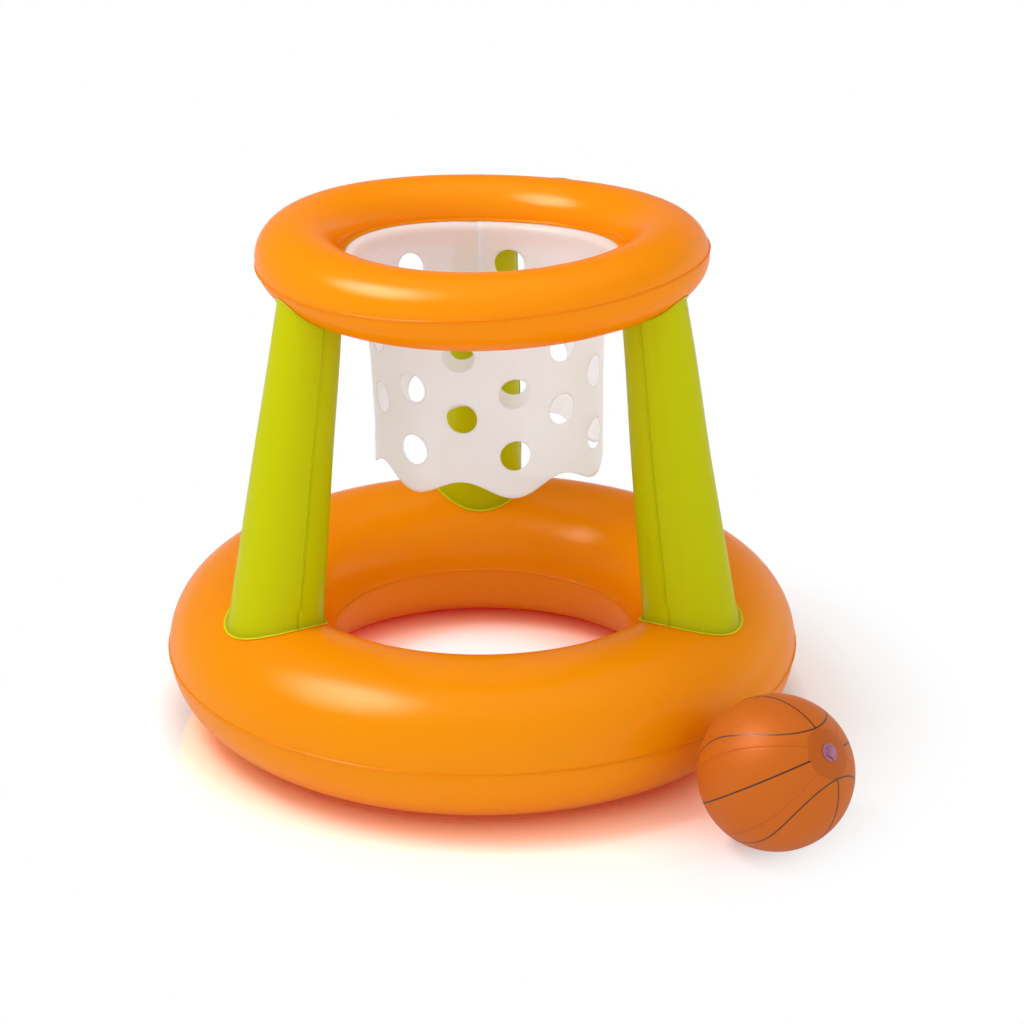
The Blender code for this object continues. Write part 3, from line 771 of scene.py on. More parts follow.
def post_film(name, side, azimuth, lean):
    """One film of a post as an open mesh, from the rim of its foot flange to its head flange."""
    middle = 0.0 if side == "outer" else math.pi
    seam = post_seam_gap / 2 / post_foot_radius
    turn = middle + (np.pi / 2 - seam) * np.linspace(1.0, -1.0, post_columns + 1)
    turn = np.concatenate([turn[:1], turn[:1], turn, turn[-1:], turn[-1:]])
    fin = np.zeros(len(turn))
    fin[[0, -1]] = post_seam_fin
    fin[[1, -2]] = post_seam_fin / 2
    foot_height = meeting(lean, base, turn, above_base)
    head_height = meeting(lean, hoop, turn, below_hoop)
    foot = post_point(lean, turn, foot_height)
    head = post_point(lean, turn, head_height)
    rows, weld, crease = [], [], []
    # The rim takes the weld colour, a painted highlight; the hollow inside it gets painted shade.
    for share in foot_flange_shares:
        lift = flange_bead * math.exp(-(((share - bead_place) / bead_width) ** 2))
        rows.append(on_ring(base, foot, turn, post_flare + post_flange_width * share, lift))
        low_share, high_share = foot_weld_share
        weld.append(float(smooth_step((share - low_share) / (high_share - low_share))))
        crease.append(foot_crease * float(smooth_step(1 - share / foot_crease_share)))
    step_off = rows[-1] - post_point(lean, turn, foot_height, post_flare)
    # Up the flare the painted shade fades away.
    for climb in np.linspace(0.0, 1.0, flare_rows + 1)[1:]:
        spread = post_flare * (1 - climb) ** 2
        row = post_point(lean, turn, foot_height + post_flare_height * climb, spread)
        rows.append(row + step_off * (1 - climb) ** 4)
        weld.append(0.0)
        crease.append(foot_crease * math.exp(-climb * foot_crease_fall))
    clear = foot_height + post_flare_height
    ripple = puckers(turn, round(azimuth))
    for climb in np.linspace(0.0, 1.0, post_rows + 1)[1:]:
        height = clear + (head_height - clear) * climb
        from_foot = (height - foot_height - post_flare_height) / pucker_reach
        from_head = (head_height - height) / pucker_reach
        slack = from_foot * np.exp(1 - pucker_fall * from_foot)
        slack += from_head * np.exp(1 - pucker_fall * from_head)
        spread = pucker_height * slack * ripple + fin * smooth_step(from_foot)
        spread = spread * smooth_step(from_head * head_calm) if climb < 1 else 0.0
        rows.append(post_point(lean, turn, height, spread))
        weld.append(0.0)
        crease.append(0.0)
    # The head flange takes the weld colour too, as a painted highlight.
    for share in head_flange_shares:
        rows.append(on_ring(hoop, head, turn, post_flange_width * share))
        weld.append(share)
        crease.append(0.0)
    values = {"weld": weld, "crease": crease}
    values = {key: np.repeat(np.array(row)[:, None], len(turn), 1) for key, row in values.items()}
    mesh = merged(grid_mesh(name, np.array(rows), values=values), post_join_distance)
    mesh.transform(about_z(azimuth))
    film = new_piece(name, moved(mesh, axis_place), lime_vinyl)
    warp(film, lambda height: smooth_step((height - post_warp_low) / post_warp_rise), rolls=False)
    return film


for where, azimuth in post_azimuths.items():
    centre = axis_place + about_z(azimuth) @ Vector((post_middle_radius, 0.0, 0.0))
    for side in ("outer", "inner"):
        film = post_film(f"post_{where}_{side}_film", side, azimuth, post_leans[where])
        middle = film.data.polygons[len(film.data.polygons) // 2]
        if (middle.center - centre).dot(middle.normal) < 0:
            film.data.flip_normals()
        thicken(film, film_thickness)
        kept(film, "stand", "lime_vinyl", f"post_{where}_{side}_panel")

# %% [markdown]
# The posts and the hoop ring share their air, and one valve fills them all. So the ring's lower
# film has a hole over the head of each post. A Boolean cuts these, because a film with a
# thickness is a closed solid and the cut keeps it closed.

# %% Cut the air holes
air_hole_radius = 0.010
air_hole_shift = 0.0055
air_cut_depth = 0.02
air_spot = Vector((hoop["radius"] + air_hole_shift, 0.0, hoop["centre"] - hoop["high"]))
air_holes = []
for azimuth in post_azimuths.values():
    air_holes.append(Matrix.Translation(axis_place + about_z(azimuth) @ air_spot))
cut_round(hoop_bottom, air_hole_radius, air_cut_depth, air_holes)
kept(hoop_bottom, "stand", "orange_vinyl", "hoop_ring_bottom_panel")

# %% [markdown]
# ## The net
#
# The net is one sheet. Its round holes are punched while it lies flat, in seven columns of three
# with seven columns of two between them, and its lower edge is cut in seven scallops. It is then
# rolled, lapped at the back and welded under the hoop ring's inner flange. The flat sheet is
# counted in cells, and a cell's size comes from the net's hem and from the pitch of the holes.

# %% Name the net's sizes
net_turn_cells = 280
net_lap_cells = 2
net_rows = 87
pitch_rows = 26
hole_pitch = 0.0655
net_hole_radius = 0.0155
net_row_height = hole_pitch / pitch_rows
net_thickness = 0.0004
net_weld_clearance = 0.001
net_weld_width = 0.0075
net_neck_width = 0.008
net_neck_depth = 0.0085
net_taper = 0.0105
net_drop = 0.2105
weld_radius = hoop["radius"] - hoop["wide"] - net_weld_clearance
net_rim_radius = weld_radius - net_weld_width
net_neck_radius = net_rim_radius - net_neck_width
net_hem_radius = net_neck_radius - net_taper
net_rim_height = hoop["centre"] - weld_gap * 1.5 - film_thickness - net_thickness
net_neck_height = net_rim_height - net_neck_depth
net_hem_height = hoop["centre"] - net_drop
net_cell_width = math.tau * net_hem_radius / net_turn_cells
print("net cell", round(net_cell_width * 1000, 3), "by", round(net_row_height * 1000, 3), "mm")

# %% [markdown]
# Nodes do the punching: a fine grid is the sheet, two smaller grids give the holes' middles, and
# each vertex finds its nearest middle. Square rings of vertices round a middle are drawn into
# circles, each side of a square into a quarter, and the faces inside the innermost one are
# deleted. The rim then follows a true circle and no face is a sliver, which a Boolean cut can't
# promise on so thin a sheet.

# %% Punch the flat sheet
net_sizes = {
    "Cells": net_turn_cells + net_lap_cells,
    "Rows": net_rows,
    "Cell Width": net_cell_width,
    "Cell Height": net_row_height,
    "Hole Radius": net_hole_radius,
    "Drawn Cells": 8.0,
    "Rim Cells": 5.0,
}
lobe_rows = 3
crest_rows = 2
first_hole_row = 14
stagger_rows = 16
lobe_count = 7
lobe_cells = 40
first_lobe_cell = 150
first_crest_cell = 130
lobe_azimuth = math.radians(-77.6)
start_azimuth = lobe_azimuth - math.tau * (first_lobe_cell / net_turn_cells - 1)


def net_nodes(material):
    """The tree that punches the flat sheet."""
    tree, size = geometry_tree("punched_sheet", net_sizes)
    wide = tree.times(size["Cells"], size["Cell Width"])
    high = tree.times(size["Rows"], size["Cell Height"])
    across = tree.plus(size["Cells"], 1.0)
    up = tree.plus(size["Rows"], 1.0)
    sheet = tree.grid(wide, high, across, up)
    middles = tree.add("GeometryNodeJoinGeometry").node
    middle_cell = (net_turn_cells + net_lap_cells) / 2
    under_lobes = (first_lobe_cell, lobe_rows, first_hole_row)
    under_crests = (first_crest_cell, crest_rows, first_hole_row + stagger_rows)
    for cell, rows, low_row in (under_lobes, under_crests):
        shift_x = tree.times(size["Cell Width"], cell - middle_cell)
        middle_row = low_row + pitch_rows * (rows - 1) / 2 - net_rows / 2
        shift_y = tree.times(size["Cell Height"], middle_row)
        spots_wide = tree.times(size["Cell Width"], (lobe_count - 1.0) * lobe_cells)
        spots_high = tree.times(size["Cell Height"], pitch_rows * (rows - 1.0))
        spots = tree.grid(spots_wide, spots_high, lobe_count, rows)
        inputs = {0: spots, "Translation": tree.joined(shift_x, shift_y)}
        placed = tree.add("GeometryNodeTransform", inputs)
        tree.tree.links.new(placed, middles.inputs[0])
    spot = tree.add("GeometryNodeInputPosition")
    nearest = tree.add("GeometryNodeProximity", {0: middles.outputs[0]}, target_element="POINTS")
    away = tree.vector("SUBTRACT", spot, nearest)
    across, up, _ = tree.parts(away)
    side = tree.math("SIGN", across)
    end = tree.math("SIGN", up)
    across = tree.over(tree.math("ABSOLUTE", across), size["Cell Width"])
    up = tree.over(tree.math("ABSOLUTE", up), size["Cell Height"])
    square_ring = tree.larger(across, up)
    inner = tree.math("MINIMUM", across, up)
    slant = tree.times(tree.over(inner, square_ring), math.pi / 4)
    long = tree.math("COSINE", slant)
    short = tree.math("SINE", slant)
    beside = tree.math("GREATER_THAN", across, up)
    x = tree.plus(short, tree.times(beside, tree.minus(long, short)))
    y = tree.minus(tree.plus(long, short), x)
    spoke = tree.joined(tree.times(x, side), tree.times(y, end))
    within = tree.math("LESS_THAN", square_ring, size["Rim Cells"])
    punched = tree.add("GeometryNodeDeleteGeometry", {0: sheet, 1: within}, domain="FACE")
    drawn = tree.mapped(square_ring, size["Rim Cells"], size["Drawn Cells"])
    outside = tree.minus(square_ring, size["Rim Cells"])
    reach = tree.plus(size["Hole Radius"], tree.times(outside, size["Cell Height"]))
    circle = tree.scaled(spoke, reach)
    place = tree.add("ShaderNodeMix", {0: drawn, 4: circle, 5: away}, 1, data_type="VECTOR")
    round_holes = tree.placed(punched, tree.vector("ADD", nearest, place))
    tree_ends(tree, round_holes, material)
    return tree


net = new_piece("net_sheet", bpy.data.meshes.new("net_sheet"))
run_tree(net, net_nodes(net_vinyl), net_sizes)

# %% [markdown]
# Rolling maps each flat point by its cell across and its row up. The lowest rows follow the
# scallops, the body narrows a little towards its hem, and the last rows bend outwards over a
# quarter of an ellipse and lie flat under the ring. The first end laps over the second. The
# skirt of the one in the photograph leans a little to the right, and its top follows the ring.

# %% Roll the sheet
scallop_rise = 0.0085
scallop_rows = 6
hole_hem_margin = 0.0365
scallop_height = hole_hem_margin - (first_hole_row - scallop_rows) * net_row_height
hole_clear_rows = 8
body_rows = 79
bend_rows = 5
neck_power = 3
hang_height = 0.17
sway = 0.0012
sway_waves = 3
sway_turn = 0.6
lobe_sway = 0.0009
rim_weld_rows = 2.5
lap_step = net_thickness + weld_gap
lap_blend_cells = 8
net_lean = 0.0075
net_lean_power = 1.7


def between(value, low, high):
    """How far a value is from low to high, no less than 0 and no more than 1."""
    return np.clip((value - low) / (high - low), 0.0, 1.0)


def roll(obj):
    """Roll the flat sheet up under the hoop ring, and mark its rim band."""
    flat = points_of(obj)
    cell = flat[:, 0] / net_cell_width + (net_turn_cells + net_lap_cells) / 2
    row = flat[:, 1] / net_row_height + net_rows / 2
    turn = start_azimuth + math.tau * cell / net_turn_cells
    lobe = np.cos(lobe_count * (turn - lobe_azimuth))
    low = net_hem_height - scallop_rise * lobe
    straight = net_hem_height + scallop_height
    scalloped = low + (straight - low) * row / scallop_rows
    plain = straight + (row - scallop_rows) * net_row_height
    height = np.where(row < scallop_rows, scalloped, plain)
    top_hole_row = first_hole_row + (lobe_rows - 1) * pitch_rows + hole_clear_rows
    top_hole_height = straight + (top_hole_row - scallop_rows) * net_row_height
    body_share = (row - top_hole_row) / (body_rows - top_hole_row)
    above = top_hole_height + (net_neck_height - top_hole_height) * body_share
    height = np.where(row > top_hole_row, np.minimum(above, net_neck_height), height)
    rise = between(height, net_hem_height, net_neck_height)
    radius = net_hem_radius + (net_neck_radius - net_hem_radius) * rise**neck_power
    bend = between(row, body_rows, body_rows + bend_rows) * np.pi / 2
    radius += (net_rim_radius - net_neck_radius) * (1 - np.cos(bend))
    height += (net_rim_height - net_neck_height) * np.sin(bend)
    radius += (weld_radius - net_rim_radius) * between(row, body_rows + bend_rows, net_rows)
    hang = 1 - smooth_step((height - net_hem_height) / hang_height)
    radius += hang * (sway * np.cos(sway_waves * turn + sway_turn) + lobe_sway * lobe)
    over = lap_step * (1 - smooth_step((cell - net_lap_cells) / lap_blend_cells))
    lift = np.sin(bend)
    radius += over * (1 - lift)
    height -= over * lift
    lean = net_lean * (1 - between(height, net_hem_height, net_neck_height) ** net_lean_power)
    put_points(obj, np.column_stack([radius * np.cos(turn) + lean, radius * np.sin(turn), height]))
    # The rim band gets the net's whiter weld colour, a painted highlight.
    weld = obj.data.attributes.new("weld", "FLOAT", "POINT")
    rim = smooth_step((row - body_rows + 1.0) / rim_weld_rows)
    weld.data.foreach_set("value", rim.astype(np.float32))
    moved(obj.data, axis_place)


roll(net)
warp(net, lambda height: between(height, net_hem_height, net_rim_height))
body = min(net.data.polygons, key=lambda f: f.center.y)
if body.normal.y > 0:
    net.data.flip_normals()
thicken(net, net_thickness)
kept(net, "stand", "net_vinyl", "net")

# %% [markdown]
# ## The ball
#
# Six gores of film and two pole discs make the ball. It lies beside the stand, and its printed
# lines and its valve show how it is turned: one matrix carries everything on it into its place.

# %% Place the ball
ball_radius = 0.0755
ball_disc_radius = 0.0246
ball_gore_count = 6
ball_ring_gap = 0.0204
ball_distance = base["radius"] + base["wide"] + seam_fin_width + ball_ring_gap + ball_radius
ball_azimuth = -50.2
ball_pole_azimuth = -45.0
ball_pole_elevation = 35.3
ball_roll = -2.5
ball_spot = about_z(ball_azimuth) @ Vector((ball_distance, 0.0, ball_radius))
ball_centre = axis_place + ball_spot
pole_tilt = Matrix.Rotation(math.radians(90.0 - ball_pole_elevation), 4, "Y")
ball_turn = about_z(ball_pole_azimuth) @ pole_tilt @ about_z(ball_roll)
ball_matrix = Matrix.Translation(ball_centre) @ ball_turn
print("ball centre", [round(v, 4) for v in ball_centre])

# %% [markdown]
# One gore is built as a grid from pole disc to pole disc, with its columns crowded at the seams,
# where the film dips slightly into the weld. Nodes then stand it round the ball six times.

# %% Gores
seam_dip = 0.00018
ball_seam_gap = 0.00006
seam_dip_reach = 0.0011
seam_tint = 0.5
seam_tint_reach = 0.0016
gore_pole_edges = np.array([0.0, 0.0005, 0.0012, 0.0024])
gore_seam_edges = np.array([ball_seam_gap / 2, 0.0007, 0.0014, 0.0026])
gore_rows = 50
gore_columns = 18


def ball_points(polar, longitude, radius):
    out = radius * np.sin(polar)
    height = radius * np.cos(polar)
    return np.stack([out * np.cos(longitude), out * np.sin(longitude), height], axis=-1)


def gore_mesh():
    """One gore, its middle at longitude 30 degrees of the ball's own frame."""
    half = math.pi / ball_gore_count
    pole = math.asin(ball_disc_radius / ball_radius)
    ends = pole + gore_pole_edges / ball_radius
    between_ends = np.linspace(ends[-1], math.pi - ends[-1], gore_rows)[1:-1]
    polar = np.concatenate([ends, between_ends, math.pi - ends[::-1]])
    rows, weld = [], []
    for angle in polar[::-1]:
        out = ball_radius * math.sin(angle)
        edges = gore_seam_edges / out
        middle = np.linspace(edges[-1], 2 * half - edges[-1], gore_columns)[1:-1]
        longitude = np.concatenate([edges, middle, 2 * half - edges[::-1]])
        to_seam = np.minimum(longitude, 2 * half - longitude) * out
        to_disc = ball_radius * min(angle - polar[0], polar[-1] - angle)
        dip = np.exp(-to_seam / seam_dip_reach) + math.exp(-to_disc / seam_dip_reach)
        radius = ball_radius - seam_dip * np.minimum(dip, 1.0)
        rows.append(ball_points(np.full_like(longitude, angle), longitude, radius))
        weld.append(seam_tint * np.exp(-to_seam / seam_tint_reach))
    return grid_mesh("gore", rows, values={"weld": weld})


def gore_nodes(material):
    """The tree that stands one gore round the ball's axis."""
    tree, size = geometry_tree("gores", {"Gores": ball_gore_count})
    steps = tree.add("GeometryNodeMeshLine", {"Count": size["Gores"], "Offset": (0.0, 0.0, 0.0)})
    index = tree.add("GeometryNodeInputIndex")
    angle = tree.over(tree.times(index, math.tau), size["Gores"])
    turn = tree.add("FunctionNodeAxisAngleToRotation", {"Axis": (0.0, 0.0, 1.0), "Angle": angle})
    inputs = {0: steps, "Instance": size["Geometry"], "Rotation": turn}
    stood = tree.add("GeometryNodeInstanceOnPoints", inputs)
    tree_ends(tree, stood, material)
    return tree


gores = new_piece("ball_gore_films", gore_mesh())
if gores.data.polygons[0].normal.dot(gores.data.polygons[0].center) < 0:
    gores.data.flip_normals()
run_tree(gores, gore_nodes(ball_vinyl), {"Gores": ball_gore_count})
gores.data.transform(ball_matrix)
thicken(gores, film_thickness)
kept(gores, "ball", "ball_vinyl", *[f"ball_gore_{index + 1}" for index in range(ball_gore_count)])

# %% [markdown]
# A pole disc is round, so it is a profile turned about the ball's axis, and so are the parts of
# the valves later. It is flat where a valve sits and then follows the ball to its rim, where it
# dips into the weld. Its colour is a little deeper than the gores', as in the photograph.

# %% Pole discs
turned_join_distance = 0.000002
disc_tint = 0.45
disc_shade = 0.33
disc_seat_margin = 0.0015
disc_seat_steps = 6
disc_rim_steps = 14
disc_crowding = 1.4
disc_sides = 72


def turned_mesh(name, profile, steps, values=None):
    """A profile of (radius, height) turned about Z, closed round. Its axis points are merged."""
    turn = math.tau * np.arange(steps) / steps
    profile = np.asarray(profile, float)
    radius, height = profile[:, :1], profile[:, 1:]
    height = np.broadcast_to(height, (len(profile), steps))
    points = np.stack([radius * np.cos(turn), radius * np.sin(turn), height], axis=-1)
    values = {key: np.repeat(v[:, None], steps, axis=1) for key, v in (values or {}).items()}
    mesh = grid_mesh(name, points, closed=True, values=values)
    return merged(mesh, turned_join_distance)


def disc_film(name, hole, node):
    """A pole disc: flat where the valve sits, then round, with its rim in the weld."""
    seat = valve_flange_radius + disc_seat_margin
    rim = ball_disc_radius - ball_seam_gap
    inner = np.linspace(hole, seat, disc_seat_steps)
    outer = rim - (rim - seat) * np.linspace(1.0, 0.0, disc_rim_steps)[1:] ** disc_crowding
    radius = np.concatenate([inner, outer])
    height = np.sqrt(ball_radius**2 - np.maximum(radius, seat) ** 2)
    height = height - seam_dip * np.exp(-(rim - radius) / seam_dip_reach)
    tint = {"weld": np.full(len(radius), disc_tint), "crease": np.full(len(radius), disc_shade)}
    mesh = turned_mesh(name, np.column_stack([radius, height]), disc_sides, tint)
    if mesh.polygons[0].normal.z < 0:
        mesh.flip_normals()
    disc = new_piece(name, mesh, ball_vinyl)
    turn = Matrix.Identity(4) if hole else Matrix.Rotation(math.pi, 4, "Y")
    disc.data.transform(ball_matrix @ turn)
    thicken(disc, film_thickness)
    return kept(disc, "ball", "ball_vinyl", node)


disc_film("ball_valve_disc_film", valve_hole_radius, "ball_valve_disc")
disc_film("ball_plain_disc_film", 0.0, "ball_plain_disc")

# %% [markdown]
# ## The ball's printed lines
#
# A basketball has eight panels between two great circles and two curves. Here they are printed
# on the film as thin dark lines. One circle passes through the poles and is left out on the
# discs, where the film was welded after printing. The other crosses it and runs only outside the
# two curves. Each line starts as a row of points on a ball of radius 1.

# %% Lay out the lines
line_steps = 120
cross_line_start = 20.0
curve_least_swing = 20.0
curve_more_swing = 23.5


def arc(function, start, end):
    return [function(math.radians(angle)) for angle in np.linspace(start, end, line_steps)]


def meridian(angle, side=1.0):
    return (0.0, side * math.sin(angle), math.cos(angle))


def cross_circle(angle, side=1.0):
    return (side * math.sin(angle), 0.0, math.cos(angle))


def side_curve(angle, side=1.0):
    """A curve that leaves the circle most where it is furthest from the poles."""
    swing = math.radians(curve_least_swing + curve_more_swing * math.sin(angle) ** 2)
    across = math.cos(swing)
    return (side * math.sin(swing), across * math.sin(angle), across * math.cos(angle))


line_sets = []
disc_edge = math.degrees(math.asin(ball_disc_radius / ball_radius))
for side in (1.0, -1.0):
    line_sets.append(arc(lambda a: meridian(a, side), disc_edge, 180.0 - disc_edge))
    line_sets.append(arc(lambda a: cross_circle(a, side), cross_line_start, 180.0 - cross_line_start))
    line_sets.append(arc(lambda a: side_curve(a, side), 0.0, 360.0))
print(len(line_sets), "lines")

# %% [markdown]
# The ink is a very thin layer on the film. Nodes make each row of points a curve, give it a round
# section, and press that section flat onto the ball. A texture could draw the lines too, but a
# real layer keeps its sharp edge at any distance. The ink's brown wanders a little.

# %% Print the lines
line_width = 0.0015
line_sides = 10
ink_thickness = 0.00006


def ink_nodes(material):
    """The tree that lays a round-sectioned line flat on a ball."""
    sizes = {"Line Width": line_width, "Ink Thickness": ink_thickness, "Ball Radius": ball_radius}
    tree, size = geometry_tree("printed_lines", sizes)
    curve = tree.add("GeometryNodeMeshToCurve", {0: size["Geometry"]})
    inputs = {"Resolution": line_sides, "Radius": tree.over(size["Line Width"], 2.0)}
    section = tree.add("GeometryNodeCurvePrimitiveCircle", inputs)
    tube = tree.add("GeometryNodeCurveToMesh", {0: curve, 1: section, "Fill Caps": True})
    spot = tree.add("GeometryNodeInputPosition")
    far = tree.vector("LENGTH", spot, output=1)
    top = tree.plus(size["Ball Radius"], size["Ink Thickness"])
    pressed = tree.math("MINIMUM", tree.larger(far, size["Ball Radius"]), top)
    flat = tree.placed(tube, tree.scaled(tree.vector("NORMALIZE", spot), pressed))
    tree_ends(tree, flat, material)
    return tree


def speckled(name, colour, brighter, scale, roughness, alpha=1.0):
    """A plain finish whose colour wanders between one tone and a brighter one."""
    material = bpy.data.materials.new(name)
    material.use_nodes = True
    tree = Tree(material.node_tree)
    shader = material.node_tree.nodes["Principled BSDF"]
    place = tree.add("ShaderNodeTexCoord", output=3)
    grain = tree.noise(place, scale, 2.0)
    tone = tree.blended(grain, colour, tuple(value * brighter for value in colour))
    tree.tree.links.new(tone, shader.inputs["Base Color"])
    shader.inputs["Roughness"].default_value = roughness
    shader.inputs["Alpha"].default_value = alpha
    return material


ink_brown = speckled("line_ink", (0.028, 0.009, 0.005), 1.6, scale=300.0, roughness=0.45)
mesh = bpy.data.meshes.new("ball_printed_lines")
points, edges = [], []
for line in line_sets:
    first = len(points)
    points += [Vector(p) * (ball_radius + ink_thickness / 2) for p in line]
    edges += [(first + i, first + i + 1) for i in range(len(line) - 1)]
mesh.from_pydata(points, edges, [])
lines = new_piece("ball_printed_lines", mesh)
run_tree(lines, ink_nodes(ink_brown), {})
lines.data.transform(ball_matrix)
kept(lines, "ball", "ball_vinyl")

# %% [markdown]
# ## Valves
#
# The three valves are moulded from a tinted soft vinyl that lets some light past, and are alike.
# Each of their four parts is a turned profile with rounded edges, finer than the packed solids
# but in the same place and on the same moving body. The plug's pull tab is a small rounded bar.

# %% Valve finish and sizes
clear_valve = speckled(
    "valve_clear", (0.38, 0.14, 0.22), 1.4, scale=160.0, roughness=0.12, alpha=0.6
)
stem_radius = 0.0048
bore_radius = 0.0034
stem_length = 0.012
running_gap = 0.0003
lip_radius = 0.0058
lip_thickness = 0.001
plug_cap_radius = 0.005
plug_cap_thickness = 0.0012
plug_shank_length = 0.005
tab_width = 0.003
tab_reach = 0.0085
tab_thickness = 0.0008
flap_radius = 0.0042
flap_thickness = 0.0005
valve_steps = 48
tab_end_steps = 9
edge_round = 0.0002
edge_middle = 0.3
print("valve stem", stem_length * 1000, "mm long in a flange of", valve_flange_radius * 2000, "mm")

# %% [markdown]
# A moulded edge is never sharp, so each corner of a profile is cut by a short round before the
# profile is turned. The part then goes to its seat by one matrix, and its box is compared with
# the box of the packed solid.

# %% Build the valves


def rounded(profile, closed=True):
    """The profile with each corner cut by a short two-step round."""
    points = [Vector(p) for p in profile]
    count = len(points)
    made = []
    for i, corner in enumerate(points):
        if not closed and i in (0, count - 1):
            made.append(corner)
            continue
        before = (points[i - 1] - corner).normalized() * edge_round
        after = (points[(i + 1) % count] - corner).normalized() * edge_round
        made += [corner + before, corner + (before + after) * edge_middle, corner + after]
    if closed:
        made.append(made[0])
    return [tuple(p) for p in made]


def valve_part(name, profile, body, place, extra=None, closed=True):
    """A turned part of a valve, in its place, for the node of the same name."""
    mesh = turned_mesh(name, rounded(profile, closed), valve_steps)
    shape = bmesh.new()
    shape.from_mesh(mesh)
    if extra is not None:
        other = bpy.data.meshes.new("extra")
        extra.to_mesh(other)
        shape.from_mesh(other)
        bpy.data.meshes.remove(other)
    bmesh.ops.recalc_face_normals(shape, faces=shape.faces)
    shape.to_mesh(mesh)
    shape.free()
    mesh.transform(place)
    piece = new_piece(f"{name}_part", mesh, clear_valve)
    kept(piece, body, "valve_vinyl", name)
    low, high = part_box(name)
    co = np.array([v.co for v in mesh.vertices])
    drift = max(abs(co.min(0) - np.array(low)).max(), abs(co.max(0) - np.array(high)).max())
    print("  box differs by", round(drift * 1000, 3), "mm")
    return piece


def tab_shape():
    """The plug's pull tab, a bar with a round end."""
    shape = bmesh.new()
    half = tab_width / 2
    outline = [(0.0, -half)]
    for angle in np.linspace(-np.pi / 2, np.pi / 2, tab_end_steps):
        outline.append((tab_reach - half + half * math.cos(angle), half * math.sin(angle)))
    outline.append((0.0, half))
    low = [shape.verts.new((x, y, running_gap)) for x, y in outline]
    high = [shape.verts.new((x, y, running_gap + tab_thickness)) for x, y in outline]
    shape.faces.new(low[::-1])
    shape.faces.new(high)
    for i in range(len(low)):
        j = (i + 1) % len(low)
        shape.faces.new((low[i], low[j], high[j], high[i]))
    return shape


for prefix, seat in seats.items():
    owner = "ball" if prefix == "ball" else "stand"
    top = weld_gap + valve_flange_thickness
    hole = stem_radius + running_gap
    flange = [(valve_flange_radius, top), (valve_flange_radius, weld_gap)]
    flange += [(hole, weld_gap), (hole, top)]
    valve_part(f"{prefix}_valve_flange", flange, owner, seat)
    stem_place = seat @ Matrix.Translation((0.0, 0.0, top))
    stem = [
        (stem_radius, 0.0),
        (stem_radius, lip_thickness - stem_length),
        (lip_radius, lip_thickness - stem_length),
        (lip_radius, -stem_length),
        (bore_radius, -stem_length),
        (bore_radius, 0.0),
    ]
    valve_part(f"{prefix}_valve_stem", stem, f"{prefix}_stem", stem_place)
    cap = running_gap + plug_cap_thickness
    shank = bore_radius - running_gap
    plug = [(0.0, cap), (plug_cap_radius, cap), (plug_cap_radius, running_gap)]
    plug += [(shank, running_gap), (shank, -plug_shank_length), (0.0, -plug_shank_length)]
    name = f"{prefix}_valve_plug"
    valve_part(name, plug, f"{prefix}_plug", stem_place, tab_shape(), closed=False)
    high = -stem_length - running_gap
    low = high - flap_thickness
    flap = [(0.0, high), (flap_radius, high), (flap_radius, low), (0.0, low)]
    valve_part(f"{prefix}_valve_flap", flap, f"{prefix}_flap", stem_place, closed=False)

# %% [markdown]
# ## Floor and light
#
# The photograph has a white floor, polished enough to mirror the toy, that runs into a white
# background. The floor here is a plain sheet whose shader is part matt and part polish. The
# polish answers rays from the camera alone and fades away from the stand. For the camera the matt
# part is painted darker beside the base ring, a painted contact shadow. Further out the floor turns
# to plain white for what is seen, mirrored or looked through, and inside the ring it is lifted
# towards white for the same rays, which is painted light over the shade there.

# %% Floor
contact_radius = 0.265
camera_albedo = 0.98
# The camera's floor tone by distance from the ring's contact line: a painted contact shadow.
painted_contact_shadow = (0.02, 0.09, 0.25, 0.95)
polish_fade = (0.26, 0.58, 0.9, 0.0)
white_outside = (0.34, 0.53)
# How far inside the ring the floor is lifted towards white: painted light over its shade.
painted_light_in_ring = (0.20, 0.10, 0.0, 0.8)
polish_roughness = 0.06
all_colours = (1.0, 1.0, 1.0)


def floor_shader():
    """Matt white that keeps the shadows, with a mirror added for the camera alone."""
    material = bpy.data.materials.new("white_floor")
    material.use_nodes = True
    tree = Tree(material.node_tree)
    matt = material.node_tree.nodes["Principled BSDF"]
    matt.inputs["Roughness"].default_value = 0.9
    matt.inputs["Specular IOR Level"].default_value = 0.0
    path = tree.add("ShaderNodeLightPath").node
    from_camera = path.outputs["Is Camera Ray"]
    place = tree.vector("SUBTRACT", tree.add("ShaderNodeTexCoord", output=3), axis_place)
    far = tree.vector("LENGTH", place, output=1)
    from_ring = tree.math("ABSOLUTE", tree.minus(far, contact_radius))
    # For camera rays the matt part is darker beside the base ring: a painted contact shadow.
    level = tree.mixed(from_camera, camera_albedo, tree.mapped(from_ring, *painted_contact_shadow))
    tree.tree.links.new(tree.scaled(all_colours, level), matt.inputs["Base Color"])
    polished = tree.mapped(far, *polish_fade, smooth=True)
    shine = tree.scaled(all_colours, tree.times(polished, from_camera))
    inputs = {"Color": shine, "Roughness": polish_roughness}
    polish = tree.add("ShaderNodeBsdfAnisotropic", inputs)
    total = tree.add("ShaderNodeAddShader", {0: matt.outputs[0], 1: polish})
    seen = tree.larger(from_camera, path.outputs["Is Glossy Ray"])
    seen = tree.larger(seen, path.outputs["Is Transmission Ray"])
    outside = tree.mapped(far, *white_outside, smooth=True)
    # Inside the ring the floor is lifted towards white: painted light over its shade.
    painted_light_share = tree.mapped(far, *painted_light_in_ring, smooth=True)
    share = tree.times(tree.plus(outside, painted_light_share), seen)
    bright = tree.add("ShaderNodeEmission", {"Strength": 1.0})
    total = tree.add("ShaderNodeMixShader", {0: share, 1: total, 2: bright})
    tree.tree.links.new(total, material.node_tree.nodes["Material Output"].inputs["Surface"])
    return material


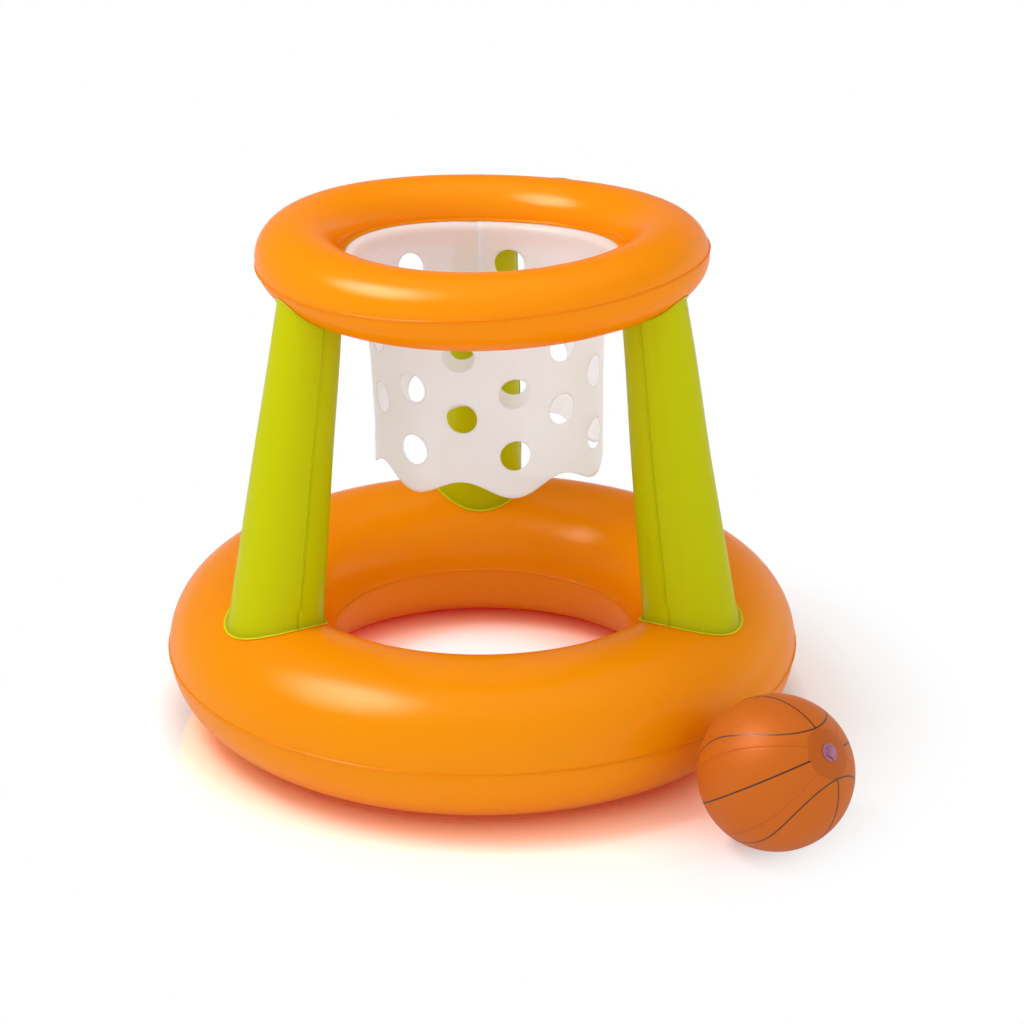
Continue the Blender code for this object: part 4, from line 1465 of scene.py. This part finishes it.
floor_half = 6.0
floor_front = -3.0
floor_back = 9.0
floor_mesh = bpy.data.meshes.new("floor")
corners = [(-floor_half, floor_front, 0.0), (floor_half, floor_front, 0.0)]
corners += [(floor_half, floor_back, 0.0), (-floor_half, floor_back, 0.0)]
floor_mesh.from_pydata(corners, [], [(0, 1, 2, 3)])
floor = new_piece("floor", floor_mesh, floor_shader())
floor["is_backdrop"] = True
print("floor", [round(v, 1) for v in floor.dimensions.xy], "m")

# %% [markdown]
# The world lights the toy from all round, more from the front, and is white for the camera and
# through clear film. Glossy rays see another room: pale from below and at the horizon, most on
# the right, and dim above but for the soft box and a faint ceiling over the rings.

# %% World
low_fill = 0.98
high_fill = 0.68
front_fill = 0.45
towards_front = Vector((0.35, -0.94, 0.0))
box_glow = 26.0
box_edge = math.cos(math.radians(22.0))
box_core = math.cos(math.radians(6.0))
side_gloss = 0.4
side_gloss_gain = 1.5
low_gloss = (0.12, 0.5, 1.3, 0.1)
ceiling_glow = (0.75, 0.97, 0.0, 1.6)
towards_box = Vector((-0.535, -0.104, 0.839)).normalized()
world = bpy.data.worlds.new("studio")
bpy.context.scene.world = world
world.use_nodes = True
world.node_tree.nodes.clear()
sky = Tree(world.node_tree)
direction = sky.add("ShaderNodeTexCoord")
rightward, _, upward = sky.parts(direction)
path = sky.add("ShaderNodeLightPath").node
front = sky.larger(sky.vector("DOT_PRODUCT", direction, towards_front, output=1), 0.0)
fill = sky.mapped(upward, 0.0, 1.0, low_fill, high_fill)
fill = sky.plus(fill, sky.times(front, front_fill))
above = sky.mapped(upward, *low_gloss)
facing = sky.vector("DOT_PRODUCT", direction, towards_box, output=1)
box = sky.mapped(facing, box_edge, box_core, 0.0, box_glow, smooth=True)
right_side = sky.larger(sky.times(rightward, side_gloss_gain), side_gloss)
overhead = sky.mapped(upward, *ceiling_glow)
mirrored = sky.plus(sky.times(above, right_side), sky.plus(box, overhead))
strength = sky.mixed(path.outputs["Is Glossy Ray"], fill, mirrored)
seen = sky.larger(path.outputs["Is Camera Ray"], path.outputs["Is Transmission Ray"])
strength = sky.mixed(seen, strength, 1.0)
light = sky.add("ShaderNodeBackground", {0: (1.0, 1.0, 1.0, 1.0), 1: strength})
output = world.node_tree.nodes.new("ShaderNodeOutputWorld")
world.node_tree.links.new(light, output.inputs["Surface"])
print("world", len(world.node_tree.nodes), "nodes")

# %% [markdown]
# The highlights in the photograph all mirror one soft box, high on the left. Working back from
# where they lie on the rings gives its direction; its size is how long and wide they are.

# %% Key light and camera
key_distance = 2.2
key_aim_height = 0.3
key_data = bpy.data.lights.new("soft_box", "AREA")
key_data.shape = "RECTANGLE"
key_data.size = 1.0
key_data.size_y = 0.7
key_data.energy = 23.0
key = bpy.data.objects.new("soft_box", key_data)
bpy.context.scene.collection.objects.link(key)
key_target = axis_place + Vector((0.0, 0.0, key_aim_height))
key.location = key_target + towards_box * key_distance
key.rotation_euler = towards_box.to_track_quat("Z", "Y").to_euler()

camera_data = bpy.data.cameras.new("camera")
camera_data.lens = 86.07
camera_data.sensor_width = 36.0
camera = bpy.data.objects.new("camera", camera_data)
camera.location = (-0.028212, -2.370247, 1.17808)
camera.rotation_euler = (math.pi / 2 - 0.3816, 0.0, -0.0216)
bpy.context.scene.collection.objects.link(camera)
bpy.context.scene.camera = camera
bpy.context.scene.view_settings.view_transform = "Standard"
print("key light at", [round(v, 2) for v in key.location])

# %% Visual box
low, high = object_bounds()
print("visual box", [round(v, 4) for v in (*low, *high)])
